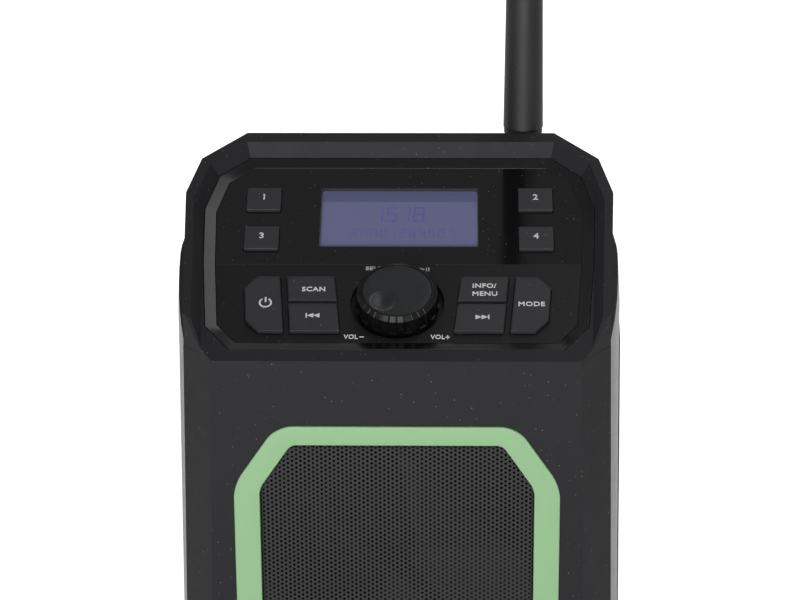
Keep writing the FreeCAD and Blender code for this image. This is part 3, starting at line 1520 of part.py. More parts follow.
def make_antenna():
    """Folding antenna: forked base, hinge pin, root with its tongue, and the whip."""
    base = new_body("antenna_base")
    foot = new_sketch(base, "antenna_foot", "plan", "deck_z")
    outer_half = "tongue_thick / 2 + ear_gap + ear_thick"
    draw_loop(foot, rectangle("antenna_x - (%s)" % outer_half, "antenna_x + (%s)" % outer_half,
                              behind_face("antenna_depth - ear_radius"), behind_face("antenna_depth + ear_radius")))
    pad(base, foot, "antenna_foot")
    ears = new_sketch(base, "antenna_ears", "side", "antenna_x")
    axis_y = behind_face("antenna_depth")
    draw_loop(ears, [
        (behind_face("antenna_depth - ear_radius"), "deck_z"),
        (behind_face("antenna_depth + ear_radius"), "deck_z"),
        (behind_face("antenna_depth + ear_radius"), "pivot_z + ear_radius * 0.4"),
        (behind_face("antenna_depth + ear_radius * 0.5"), "pivot_z + ear_radius"),
        (behind_face("antenna_depth - ear_radius * 0.5"), "pivot_z + ear_radius"),
        (behind_face("antenna_depth - ear_radius"), "pivot_z + ear_radius * 0.4"),
    ])
    pad(base, ears, "2 * (%s)" % outer_half, both_ways=True)
    slot = new_sketch(base, "antenna_slot", "side", "antenna_x")
    draw_loop(slot, rectangle(behind_face("antenna_depth - ear_radius * 2"), behind_face("antenna_depth + ear_radius * 2"),
                              "deck_z + antenna_foot", "pivot_z + ear_radius * 2"))
    pocket(base, slot, "tongue_thick + ear_gap * 2", both_ways=True)
    bore = new_sketch(base, "antenna_bore", "side", "antenna_x")
    draw_circle(bore, axis_y, "pivot_z", "pin_radius + shaft_clearance")
    pocket(base, bore, "4 * (%s)" % outer_half, both_ways=True)

    pin = new_body("antenna_pin")
    rod = new_sketch(pin, "pin_rod", "side", "antenna_x")
    draw_circle(rod, axis_y, "pivot_z", "pin_radius")
    pad(pin, rod, "2 * (%s) + 1" % outer_half, both_ways=True)

    root = new_body("antenna_root")
    tongue = new_sketch(root, "root_tongue", "side", "antenna_x")
    draw_loop(tongue, [
        (behind_face("antenna_depth - ear_radius + 0.5"), "pivot_z - ear_radius * 0.45"),
        (behind_face("antenna_depth - ear_radius * 0.45"), "pivot_z - ear_radius + 0.5"),
        (behind_face("antenna_depth + ear_radius * 0.45"), "pivot_z - ear_radius + 0.5"),
        (behind_face("antenna_depth + ear_radius - 0.5"), "pivot_z - ear_radius * 0.45"),
        (behind_face("antenna_depth + ear_radius - 0.5"), "pivot_z + whip_start"),
        (behind_face("antenna_depth - ear_radius + 0.5"), "pivot_z + whip_start"),
    ])
    pad(root, tongue, "tongue_thick", both_ways=True)
    ferrule = new_sketch(root, "root_ferrule", "plan", "pivot_z + whip_start - 0.8")
    draw_circle(ferrule, "antenna_x", axis_y, "whip_base_radius - 0.3")
    pad(root, ferrule, "ferrule_height")
    bore = new_sketch(root, "root_bore", "side", "antenna_x")
    draw_circle(bore, axis_y, "pivot_z", "pin_radius + shaft_clearance")
    pocket(root, bore, "4 * tongue_thick", both_ways=True)

    whip = new_body("antenna_whip")
    start = "(whip_start - 0.8 + ferrule_height)"
    revolve(whip, "whip_form", [
        ("0", start),
        ("whip_base_radius", start),
        ("whip_tip_radius", "whip_start + whip_length - whip_tip_radius * 0.6"),
        ("whip_tip_radius * 0.75", "whip_start + whip_length - whip_tip_radius * 0.15"),
        ("whip_tip_radius * 0.35", "whip_start + whip_length"),
        ("0", "whip_start + whip_length"),
    ])
    place(whip, "antenna_x", axis_y, "pivot_z")


def make_feet_and_screws():
    """Rubber feet and the six long screws of the case."""
    feet = []
    for x in ("foot_x", "-foot_x"):
        for depth in ("foot_front", "foot_back"):
            foot = doc.addObject("Part::Cone", "foot")
            bind(foot, "Radius1", "foot_tip_radius")
            bind(foot, "Radius2", "foot_radius")
            bind(foot, "Height", "base_z")
            place(foot, x, behind_face(depth), "0")
            feet.append(foot)
    compound("feet", feet)
    screws = []
    for x, z in boss_places():
        screws.append(screw("case_screw", "screw_head_radius", "screw_head", "screw_radius",
                            "screw_seat + seal_thick + boss_length * 0.7", x,
                            behind_face("split_depth + screw_seat"), z, facing_front=True))
    compound("case_screws", screws)


def export_nodes():
    """Check every node and write it as a STEP file."""
    doc.recompute()
    os.makedirs("parts", exist_ok=True)
    for item in doc.Objects:
        if "Invalid" in item.State or "Error" in item.State:
            raise ValueError("%s is %s" % (item.Label, item.State))
    for node in nodes:
        shape = node.Shape
        if shape.isNull() or not shape.isValid():
            raise ValueError("%s has no valid shape" % node.Label)
        shape.exportStep("parts/%s.step" % node.Label)


make_front_shell()
make_middle_housing()
make_rear_shell()
make_case_seal()
make_bezel()
make_panels()
make_screen()
make_keys()
make_control_board()
make_knob()
make_speaker_front()
make_speaker()
make_battery_bay()
make_sockets()
make_antenna()
make_feet_and_screws()
export_nodes()
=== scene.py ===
"""Looks of a jobsite radio: finishes, rounded edges, grille, knob, printing, light and camera.

Sizes in the classes are in millimetres and become metres where a mesh is placed. The housing,
the keys, the doors and the frames keep the shapes of their solids and get moulded edges. The
trim ring, the perforated sheet, the knob, the display and the antenna's sleeve are modelled here.
"""

import json
import logging
import math
from dataclasses import dataclass, field, replace
from enum import Enum
from typing import Any, Dict, List, Optional, Sequence, Tuple

import bmesh
import bpy
from mathutils import Matrix, Vector

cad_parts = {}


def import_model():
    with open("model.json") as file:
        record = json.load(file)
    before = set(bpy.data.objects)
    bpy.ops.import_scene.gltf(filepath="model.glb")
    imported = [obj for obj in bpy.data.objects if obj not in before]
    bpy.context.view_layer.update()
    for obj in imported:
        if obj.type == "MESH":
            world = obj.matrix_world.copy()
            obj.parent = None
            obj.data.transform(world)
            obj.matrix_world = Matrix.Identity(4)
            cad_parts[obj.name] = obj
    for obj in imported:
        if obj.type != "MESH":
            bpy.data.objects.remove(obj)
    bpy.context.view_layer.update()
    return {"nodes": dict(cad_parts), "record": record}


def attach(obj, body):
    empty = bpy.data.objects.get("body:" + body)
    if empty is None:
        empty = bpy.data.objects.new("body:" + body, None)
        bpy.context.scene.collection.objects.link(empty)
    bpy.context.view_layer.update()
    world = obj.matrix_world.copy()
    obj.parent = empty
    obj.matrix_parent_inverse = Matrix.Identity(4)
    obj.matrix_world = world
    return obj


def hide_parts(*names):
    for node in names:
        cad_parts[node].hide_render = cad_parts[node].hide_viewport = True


LOG = logging.getLogger("jobsite_radio")

MM = 0.001
FACE_Y = -67.5
FACE_TOP = 200.7
PANEL_TILT = math.radians(25.2)
# Points nearer than this are one, in metres: in pieces made here, and in copies of the solids.
SAME_PLACE = 1e-7
SAME_CORNER = 2e-6

Colour = Tuple[float, float, float, float]
Point = Tuple[float, float]
Triple = Tuple[float, float, float]


def srgb(code: str) -> Colour:
    """Turns a screen colour into the linear values that the shaders use.

    Args:
        code: Six hexadecimal digits after a hash sign.

    Returns:
        Linear red, green and blue, and an alpha of one.
    """
    levels = [int(code[i:i + 2], 16) / 255 for i in (1, 3, 5)]
    linear = [v / 12.92 if v <= 0.04045 else ((v + 0.055) / 1.055) ** 2.4 for v in levels]
    return (linear[0], linear[1], linear[2], 1.0)


def scaled(colour: Colour, factor: float) -> Colour:
    """Brightens or darkens a colour by a factor."""
    return (colour[0] * factor, colour[1] * factor, colour[2] * factor, 1.0)


def per_metre(size: float) -> float:
    """Gives a texture's scale for features of a size in millimetres."""
    return 1.0 / (size * MM)


def add_node(tree: bpy.types.NodeTree, kind: str, settings: Optional[Dict[str, Any]] = None,
             inputs: Optional[Dict[Any, Any]] = None) -> bpy.types.Node:
    """Adds a node with its settings and fills its inputs.

    Args:
        tree: The node tree to add it to.
        kind: The node's type.
        settings: Properties to set on the node.
        inputs: Values for its inputs, by name or number. Another node's output is linked.

    Returns:
        The new node.
    """
    node = tree.nodes.new(kind)
    for name, value in (settings or {}).items():
        setattr(node, name, value)
    for name, value in (inputs or {}).items():
        if isinstance(value, bpy.types.NodeSocket):
            tree.links.new(value, node.inputs[name])
        else:
            node.inputs[name].default_value = value
    return node


class Surface(Enum):
    """How a surface was made."""

    TEXTURED = "moulded in a spark-eroded tool"
    SATIN = "moulded in a fine-blasted tool"
    POLISHED = "moulded in a polished tool"
    DRAWN = "drawn or rolled metal"
    PRINTED = "pad-printed ink"


@dataclass(frozen=True)
class Finish:
    """One finish of the radio, with sizes in millimetres."""

    name: str
    slot: str
    colour: str
    surface: Surface = Surface.SATIN
    roughness: float = 0.5
    level: float = 0.5
    metal: float = 0.0
    grain: float = 0.7
    relief: float = 0.012
    cloud: float = 22.0
    mottle: float = 0.08
    dust: float = 0.0


# ABS moulded with a spark-eroded grain: a soft, slightly grey sheen with no clear reflection. The
# real grain is about 0.15 mm, too fine for the render, so it is drawn at 0.7 mm.
FRONT_ABS = Finish("front housing, textured black ABS", "front_case", "#252528",
                   Surface.TEXTURED, 0.54, 0.24, dust=0.55, mottle=0.14)
# The same ABS, rubbed smoother at the sides: it mirrors the white walls at a grazing angle.
MIDDLE_ABS = Finish("middle housing, textured black ABS", "middle_case", "#1c1c1e",
                    Surface.TEXTURED, 0.2, dust=0.3, mottle=0.12)
# The same grain as the front: an even dark grey, cleaner than the front.
REAR_ABS = Finish("rear housing, textured black ABS", "rear_case", "#222225",
                  Surface.TEXTURED, 0.54, 0.28, dust=0.3, mottle=0.14)
# Moulded rubber: duller than the ABS, so it reads as soft beside it.
RUBBER = Finish("moulded black rubber", "soft_black", "#141415",
                Surface.TEXTURED, 0.68, 0.35, grain=0.9, dust=0.35, mottle=0.16)
# Black ABS from a satin tool: the bezel's facets pick up one soft highlight each.
BEZEL_ABS = Finish("bezel, satin black ABS", "gloss_black", "#0c0c0e",
                   Surface.SATIN, 0.2, relief=0.004, grain=1.1, dust=0.3, mottle=0.1)
# Polished black ABS: the display panel mirrors the antenna as a dark band.
PANEL_ABS = Finish("display panel, polished black ABS", "gloss_black", "#0b0b0e",
                   Surface.POLISHED, 0.07, dust=0.5, mottle=0.06)
# Satin black ABS: the same black as the display panel, but it mirrors nothing.
PLATE_ABS = Finish("control plate, satin black ABS", "panel_matte", "#101012",
                   Surface.SATIN, 0.42, 0.28, relief=0.006, dust=0.5, mottle=0.1)
# ABS dyed pale green: an even, chalky colour with a weak sheen.
TRIM_ABS = Finish("trim ring, pale green ABS", "trim_green", "#a3cf9c",
                  Surface.SATIN, 0.48, 0.35, relief=0.006, grain=1.0, mottle=0.025, cloud=14.0)
# Powder-coated steel sheet: the coat's orange peel breaks up the light between the holes.
SHEET_COAT = Finish("grille, black powder coat", "grille_black", "#29292b",
                    Surface.TEXTURED, 0.42, grain=0.8, relief=0.01, mottle=0.12, cloud=9.0)
# Moulded ABS key caps: dark grey against the black panel, with a fine grain that holds dust.
KEY_ABS = Finish("key caps, textured black ABS", "key_black", "#38383b",
                 Surface.TEXTURED, 0.5, 0.3, grain=0.8, relief=0.01, dust=0.7, mottle=0.12,
                 cloud=6.0)
# Glossy black ABS on the knob's side: each facet shows as one bright or dark panel.
KNOB_ABS = Finish("knob skirt, glossy black ABS", "knob_black", "#0e0e10",
                  Surface.SATIN, 0.28, 0.22, relief=0.003, dust=0.25)
# Satin black ABS: one broad highlight fills the finger dimple.
KNOB_FACE = Finish("knob face, satin black ABS", "knob_black", "#1a1d1f",
                   Surface.SATIN, 0.34, relief=0.004, dust=0.35, mottle=0.06)
# Liquid crystal display behind a clear window: blue-violet, brighter where no segment is lit.
CRYSTAL = Finish("display, blue liquid crystal", "screen", "#8688b6",
                 Surface.POLISHED, 0.22, 0.3, mottle=0.03, cloud=12.0)
# Painted shadow: a strip of the crystal under the window's upper edge, the same blue a little
# darker, stands in for the shadow that the edge casts.
CRYSTAL_PAINTED_SHADOW = Finish("display, painted shadow under the window edge", "screen", "#7073a0",
                       Surface.POLISHED, 0.22, 0.3, mottle=0.02)
# Segments of the crystal: a purer blue that stands out only weakly.
SEGMENT = Finish("display, lit segments", "screen", "#7a78c6",
                 Surface.PRINTED, 0.3, 0.3, mottle=0.0)
FAINT_SEGMENT = Finish("display, faint segments", "screen", "#7b7bc0",
                       Surface.PRINTED, 0.3, 0.3, mottle=0.0)
# Cut edge of the clear acrylic window: a thin grey line round the crystal.
WINDOW_EDGE = Finish("display, window edge", "screen", "#7d8786", Surface.SATIN, 0.3)
# Moulded wall of the window: dark grey, so the display looks sunken.
WINDOW_WALL = Finish("display, window wall", "gloss_black", "#333436", Surface.SATIN, 0.4)
# Tinted glass of the display module, seen only from inside.
DISPLAY_CELL = Finish("display module, tinted glass", "screen_cell", "#5a5d7c", Surface.SATIN, 0.4)
# Pad-printed ink: flat white with slightly uneven cover.
WHITE_INK = Finish("white printing ink", "key_black", "#f6f6f6",
                   Surface.PRINTED, 0.55, mottle=0.03, cloud=1.5)
# Moulded polyurethane antenna sleeve: mid black with a broad highlight.
SLEEVE = Finish("antenna sleeve, black polyurethane", "soft_black", "#1a1a1b",
                Surface.TEXTURED, 0.44, dust=0.15)
# Moulded nylon: a little greyer than the rubber, with a low sheen.
BLACK_NYLON = Finish("small parts, black nylon", "part_black", "#19191b",
                     Surface.TEXTURED, mottle=0.1)
# Zinc-plated steel: bright with faint drawing lines.
STEEL = Finish("fasteners, plated steel", "steel", "#aaacb0",
               Surface.DRAWN, 0.3, metal=1.0, grain=0.3, relief=0.002, mottle=0.04)
# Coated ferrite: a dull, half metallic dark grey.
FERRITE = Finish("magnet, coated ferrite", "steel", "#4a4a4d", Surface.SATIN, metal=0.5)
# Pressed paper pulp: dull, with long uneven fibres.
PULP = Finish("speaker cone, pressed paper pulp", "paper", "#161617",
              Surface.TEXTURED, 0.8, grain=1.2, relief=0.05, mottle=0.25, cloud=4.0)
# Doped paper: the one shiny spot behind the sheet.
DOME = Finish("dust cap, doped paper", "paper", "#141415", Surface.SATIN, 0.16, relief=0.003)
# Green solder mask over glass fibre: a waxy sheen.
LAMINATE = Finish("circuit board, green solder mask", "board_green", "#16402b",
                  Surface.SATIN, 0.38, mottle=0.14, cloud=6.0)
# Enamelled copper wire: bright and orange, with the winding's lines.
WINDING = Finish("coil, enamelled copper", "copper", "#a8652f",
                 Surface.DRAWN, 0.34, metal=1.0, grain=0.2, relief=0.01)
# Shrink sleeve on the battery cells: mid grey with a soft highlight along each cell.
CELL_WRAP = Finish("cells, shrink sleeve", "cell_sleeve", "#53565d",
                   Surface.SATIN, 0.36, mottle=0.06)
# Painted shadow on the sheet's margin: nearly no light comes back, so it reads as a dark gap, the
# shadow that the ring's inner edge casts on the sheet.
SHADOW_BLACK = Finish("sheet edge, painted shadow", "grille_black", "#060607",
                      Surface.SATIN, 0.7, 0.2)


@dataclass
class FinishShop:
    """Builds each finish once and hands out its material."""

    dust_spacing: float = 2.4
    dust_rim: Point = (0.13, 0.06)
    dust_share: float = 0.5
    dust_colour: str = "#b9b2a6"
    smoother: float = 0.05
    rougher: float = 0.06
    built: Dict[str, bpy.types.Material] = field(default_factory=dict)

    def material(self, finish: Finish) -> bpy.types.Material:
        """Gives the material of a finish, built on the first call."""
        if finish.name not in self.built:
            self.built[finish.name] = self._build(finish)
        return self.built[finish.name]

    def _build(self, finish: Finish) -> bpy.types.Material:
        """Builds a finish from nodes.

        Args:
            finish: The finish to build.

        Returns:
            A new material.
        """
        material = bpy.data.materials.new(finish.name)
        material.use_nodes = True
        tree = material.node_tree
        shader = tree.nodes["Principled BSDF"]
        shader.inputs["Metallic"].default_value = finish.metal
        shader.inputs["Specular IOR Level"].default_value = finish.level
        place = add_node(tree, "ShaderNodeTexCoord").outputs["Object"]
        cloud = add_node(tree, "ShaderNodeTexNoise", inputs={
            "Vector": place, "Scale": per_metre(finish.cloud), "Detail": 5.0, "Roughness": 0.62})
        base = srgb(finish.colour)
        mixed = add_node(tree, "ShaderNodeMix", {"data_type": "RGBA"}, {
            "Factor": cloud.outputs["Fac"], "A": scaled(base, 1 - finish.mottle),
            "B": scaled(base, 1 + finish.mottle)})
        colour = mixed.outputs["Result"]
        if finish.dust > 0:
            colour = self._dusted(tree, place, colour, finish.dust)
        tree.links.new(colour, shader.inputs["Base Color"])
        wear = add_node(tree, "ShaderNodeTexNoise", inputs={
            "Vector": place, "Scale": per_metre(finish.cloud / 3), "Detail": 4.0})
        spread = add_node(tree, "ShaderNodeMapRange", inputs={
            "Value": wear.outputs["Fac"], "To Min": max(0.02, finish.roughness - self.smoother),
            "To Max": min(1.0, finish.roughness + self.rougher)})
        tree.links.new(spread.outputs["Result"], shader.inputs["Roughness"])
        if finish.surface not in (Surface.POLISHED, Surface.PRINTED):
            tree.links.new(self._relief(tree, place, finish), shader.inputs["Normal"])
        return material

    def _dusted(self, tree: bpy.types.NodeTree, place: bpy.types.NodeSocket,
                colour: bpy.types.NodeSocket, amount: float) -> bpy.types.NodeSocket:
        """Lays sparse pale specks over a colour.

        Args:
            tree: The material's node tree.
            place: The coordinates to read.
            colour: The clean colour.
            amount: How strongly the specks show.

        Returns:
            The dusty colour.
        """
        cells = add_node(tree, "ShaderNodeTexVoronoi", inputs={
            "Vector": place, "Scale": per_metre(self.dust_spacing), "Randomness": 1.0})
        spot = add_node(tree, "ShaderNodeMapRange", inputs={
            "Value": cells.outputs["Distance"], "From Min": self.dust_rim[0],
            "From Max": self.dust_rim[1]})
        chance = add_node(tree, "ShaderNodeSeparateColor", inputs={"Color": cells.outputs["Color"]})
        rare = add_node(tree, "ShaderNodeMapRange", inputs={
            "Value": chance.outputs["Red"], "From Min": self.dust_share, "From Max": 1.0,
            "To Max": amount})
        share = add_node(tree, "ShaderNodeMath", {"operation": "MULTIPLY"}, {
            0: spot.outputs["Result"], 1: rare.outputs["Result"]})
        return add_node(tree, "ShaderNodeMix", {"data_type": "RGBA"}, {
            "Factor": share.outputs["Value"], "A": colour,
            "B": srgb(self.dust_colour)}).outputs["Result"]

    @staticmethod
    def _relief(tree: bpy.types.NodeTree, place: bpy.types.NodeSocket,
                finish: Finish) -> bpy.types.NodeSocket:
        """Adds the finish's fine relief.

        Args:
            tree: The material's node tree.
            place: The coordinates to read.
            finish: The finish, for the grain's size and depth.

        Returns:
            The normal to shade with.
        """
        source = place
        if finish.surface is Surface.DRAWN:
            source = add_node(tree, "ShaderNodeMapping", inputs={
                "Vector": place, "Scale": (1.0, 10.0, 1.0)}).outputs["Vector"]
        grain = add_node(tree, "ShaderNodeTexNoise", inputs={
            "Vector": source, "Scale": per_metre(finish.grain), "Detail": 2.0})
        return add_node(tree, "ShaderNodeBump", inputs={
            "Height": grain.outputs["Fac"], "Strength": 1.0,
            "Distance": finish.relief * MM}).outputs["Normal"]


def on_panel(x: float = 0.0, along: float = 0.0, above: float = 0.0) -> Matrix:
    """Gives the place on the sloping panel of a piece that is modelled flat.

    Args:
        x: Millimetres to the right.
        along: Millimetres up the slope.
        above: Millimetres out of the panel.

    Returns:
        The matrix, in metres.
    """
    corner = Matrix.Translation((0.0, FACE_Y * MM, FACE_TOP * MM))
    inside = Matrix.Translation((x * MM, along * MM, above * MM))
    return corner @ Matrix.Rotation(PANEL_TILT, 4, "X") @ inside


def on_face(depth: float, height: float) -> Matrix:
    """Gives the place on the upright front of a piece that is modelled flat.

    Args:
        depth: Millimetres behind the front face.
        height: Millimetres above the floor.

    Returns:
        The matrix, in metres. The flat piece's third axis points forward.
    """
    middle = Matrix.Translation((0.0, (FACE_Y + depth) * MM, height * MM))
    return middle @ Matrix.Rotation(math.radians(90.0), 4, "X")


def moved(mesh: bmesh.types.BMesh, matrix: Matrix) -> bmesh.types.BMesh:
    """Moves a whole mesh by a matrix and gives it back."""
    bmesh.ops.transform(mesh, matrix=matrix, verts=mesh.verts)
    return mesh


def outlined(mesh: bmesh.types.BMesh, places: Sequence[Point], level: float,
             rounds: Sequence[Tuple[Sequence[int], float]],
             steps: int) -> List[bmesh.types.BMEdge]:
    """Draws a closed outline at a height and rounds its corners.

    Args:
        mesh: The mesh to draw in.
        places: The corners, in millimetres.
        level: The height above the drawing's plane, in millimetres.
        rounds: Groups of corners by number, each with the reach of its rounding.
        steps: Facets round each corner.

    Returns:
        The outline's edges.
    """
    verts = [mesh.verts.new((x * MM, y * MM, level * MM)) for x, y in places]
    kept = set(mesh.verts) - set(verts)
    for i, vert in enumerate(verts):
        mesh.edges.new((vert, verts[(i + 1) % len(verts)]))
    for numbers, reach in rounds:
        bmesh.ops.bevel(mesh, geom=[verts[i] for i in numbers], offset=reach * MM,
                        offset_type="OFFSET", segments=steps, profile=0.5, affect="VERTICES",
                        material=-1)
    return [e for e in mesh.edges if e.verts[0] not in kept and not e.link_faces]


def ringed(mesh: bmesh.types.BMesh, loops: Sequence[List[bmesh.types.BMEdge]]) -> None:
    """Bridges each loop to the next, and the last to the first."""
    for i, loop in enumerate(loops):
        bmesh.ops.bridge_loops(mesh, edges=loops[i - 1] + loop)
    bmesh.ops.recalc_face_normals(mesh, faces=mesh.faces)


def turned(profile: Sequence[Point], steps: int, closed: bool) -> bmesh.types.BMesh:
    """Turns a profile once round the third axis.

    Args:
        profile: Radius and height of each corner, in millimetres.
        steps: Facets round the axis.
        closed: Whether the last corner joins the first.

    Returns:
        The mesh, in metres.
    """
    mesh = bmesh.new()
    corners = [mesh.verts.new((radius * MM, 0.0, height * MM)) for radius, height in profile]
    edges = [mesh.edges.new((corners[i - 1], corners[i]))
             for i in range(0 if closed else 1, len(corners))]
    bmesh.ops.spin(mesh, geom=corners + edges, cent=(0, 0, 0), axis=(0, 0, 1), steps=steps,
                   angle=math.tau, use_merge=True)
    bmesh.ops.remove_doubles(mesh, verts=mesh.verts, dist=SAME_PLACE)
    bmesh.ops.recalc_face_normals(mesh, faces=mesh.faces)
    return mesh


@dataclass(frozen=True)
class CutFrame:
    """An upright rectangle with its four corners cut, and each cut's two ends rounded."""

    half: float
    tall: float
    cut_x: float
    cut_y: float
    end_radius: float
    side_radius: float

    def grown(self, amount: float) -> "CutFrame":
        """Gives the same outline, moved outwards all round.

        Args:
            amount: Millimetres outwards, or inwards where it is below nought.

        Returns:
            The new outline.
        """
        more = self.cut_x + self.cut_y - math.hypot(self.cut_x, self.cut_y)
        return CutFrame(self.half + amount, self.tall + amount,
                        self.cut_x + amount * more / self.cut_y,
                        self.cut_y + amount * more / self.cut_x,
                        max(0.3, self.end_radius + amount), max(0.3, self.side_radius + amount))

    def holds(self, x: float, y: float) -> bool:
        """Tells whether a point lies inside the outline's straight sides.

        Args:
            x: Millimetres to the right of the middle.
            y: Millimetres up from the middle.

        Returns:
            True inside.
        """
        long = math.hypot(self.cut_x, self.cut_y)
        reach = (self.half - self.cut_x) * self.cut_y + self.tall * self.cut_x
        slope = abs(x) * self.cut_y + abs(y) * self.cut_x
        return abs(x) < self.half and abs(y) < self.tall and slope / long < reach / long

    def loop(self, mesh: bmesh.types.BMesh, level: float,
             steps: int = 10) -> List[bmesh.types.BMEdge]:
        """Draws the outline at a height.

        Args:
            mesh: The mesh to draw in.
            level: The height above the drawing's plane.
            steps: Facets round each corner.

        Returns:
            The outline's edges.
        """
        ends, sides = self.half - self.cut_x, self.tall - self.cut_y
        places = [(ends, self.tall), (-ends, self.tall), (-self.half, sides), (-self.half, -sides),
                  (-ends, -self.tall), (ends, -self.tall), (self.half, -sides), (self.half, sides)]
        lean = math.atan2(self.cut_y, self.cut_x)
        rounds = (((0, 1, 4, 5), self.end_radius * math.tan(lean / 2)),
                  ((2, 3, 6, 7), self.side_radius * math.tan((math.pi / 2 - lean) / 2)))
        return outlined(mesh, places, level, rounds, steps)


@dataclass
class Workshop:
    """Makes mesh objects, gives them finishes and ties them to the bodies that carry them."""

    nodes: Dict[str, bpy.types.Object]
    bodies: Dict[str, str]
    finishes: FinishShop = field(default_factory=FinishShop)
    broad: float = 2.5
    crease: float = 3.0
    made: int = 0

    def piece(self, name: str, mesh: bmesh.types.BMesh, finish: Finish, carrier: str,
              replaces: Optional[str] = None, sharp: float = 40.0) -> bpy.types.Object:
        """Turns a finished bmesh into a piece of the radio.

        Args:
            name: The piece's name.
            mesh: The mesh, in place and in metres. It is freed.
            finish: The finish to give it.
            carrier: The solid whose body carries it.
            replaces: The solid that it is shown instead of.
            sharp: Edges turned by more degrees than this stay sharp.

        Returns:
            The new object.
        """
        limit, least = math.radians(sharp), math.radians(self.crease)
        broad = set()
        for face in mesh.faces:
            face.smooth = True
            longest = max(edge.calc_length() for edge in face.edges)
            if face.calc_area() > self.broad * MM * longest:
                broad.add(face)
        for edge in mesh.edges:
            turn = edge.calc_face_angle(math.pi)
            crease = turn > least and all(face in broad for face in edge.link_faces)
            edge.smooth = turn < limit and not crease
        data = bpy.data.meshes.new(name)
        mesh.to_mesh(data)
        mesh.free()
        item = bpy.data.objects.new(name, data)
        bpy.context.scene.collection.objects.link(item)
        data.materials.append(self.finishes.material(finish))
        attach(item, self.bodies[carrier])
        if replaces:
            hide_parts(replaces)
        self.made += 1
        LOG.info("%s: %d faces, %s", name, len(data.polygons), finish.name)
        return item

    def merged(self, node: str) -> bmesh.types.BMesh:
        """Gives a merged copy of a solid's mesh, with its flat faces whole again."""
        mesh = bmesh.new()
        mesh.from_mesh(self.nodes[node].data)
        bmesh.ops.remove_doubles(mesh, verts=mesh.verts, dist=SAME_CORNER)
        bmesh.ops.dissolve_limit(mesh, angle_limit=math.radians(1.0), verts=mesh.verts,
                                 edges=mesh.edges, use_dissolve_boundaries=False)
        return mesh

    def soften(self, node: str, finish: Finish, width: float, segments: int = 2,
               corner: float = 24.0, mesh: Optional[bmesh.types.BMesh] = None) -> None:
        """Rounds the edges of a copy of a solid and shows it in the solid's place.

        Args:
            node: The solid's name.
            finish: The finish to give it.
            width: Width of the rounding, in millimetres.
            segments: Facets across each rounding.
            corner: Edges turned by more degrees than this are rounded.
            mesh: The copy, where it has been changed already.
        """
        mesh = mesh or self.merged(node)
        limit = math.radians(corner)
        hard = [e for e in mesh.edges
                if len(e.link_faces) == 2 and e.calc_face_angle(0.0) > limit]
        bmesh.ops.bevel(mesh, geom=hard, offset=width * MM, offset_type="OFFSET",
                        segments=segments, profile=0.5, affect="EDGES", material=-1,
                        clamp_overlap=True)
        item = self.piece(node + "_look", mesh, finish, node, replaces=node, sharp=50.0)
        weighted = item.modifiers.new("even shading", "WEIGHTED_NORMAL")
        weighted.keep_sharp = True

    def coat(self, node: str, finish: Finish) -> None:
        """Gives a solid that stays in view its finish.

        Args:
            node: The solid's name.
            finish: The finish to give it.
        """
        item = self.nodes[node]
        material = self.finishes.material(finish)
        for slot in item.material_slots:
            slot.material = material


@dataclass
class Housing:
    """Front, middle and rear housings with the doors, feet and inner parts."""

    front_edge: float = 0.7
    middle_edge: float = 0.6
    rear_edge: float = 0.8
    door_edge: float = 0.5
    cover_edge: float = 0.4

    def dress(self, shop: Workshop) -> None:
        """Rounds and finishes the housing's pieces."""
        shop.soften("front_shell", FRONT_ABS, self.front_edge, 3)
        shop.soften("middle_housing", MIDDLE_ABS, self.middle_edge)
        shop.soften("rear_shell", REAR_ABS, self.rear_edge)
        shop.soften("battery_door", REAR_ABS, self.door_edge)
        shop.soften("port_cover", RUBBER, self.cover_edge)
        plain = {
            RUBBER: ("case_seal", "feet"),
            STEEL: ("case_screws", "board_screws", "speaker_screws", "antenna_pin",
                    "battery_contacts"),
            BLACK_NYLON: ("battery_tray", "power_socket", "sound_socket", "charge_socket"),
            LAMINATE: ("main_board", "control_board", "socket_board"),
            CELL_WRAP: ("battery_cells",),
        }
        for finish, nodes in plain.items():
            for node in nodes:
                shop.coat(node, finish)


@dataclass(frozen=True)
class Word:
    """One printed word, with its height and its middle in millimetres."""

    text: str
    height: float
    x: float
    along: float
    node: str
    widen: float


@dataclass(frozen=True)
class Mark:
    """One printed mark, in millimetres.

    An arrow has its middle, its size and one to point right or minus one to point left. A bar has
    its middle, its width and its height.
    """

    name: str
    node: str
    x: float
    along: float
    arrows: Sequence[Triple]
    bars: Sequence[Tuple[float, float, float, float]]


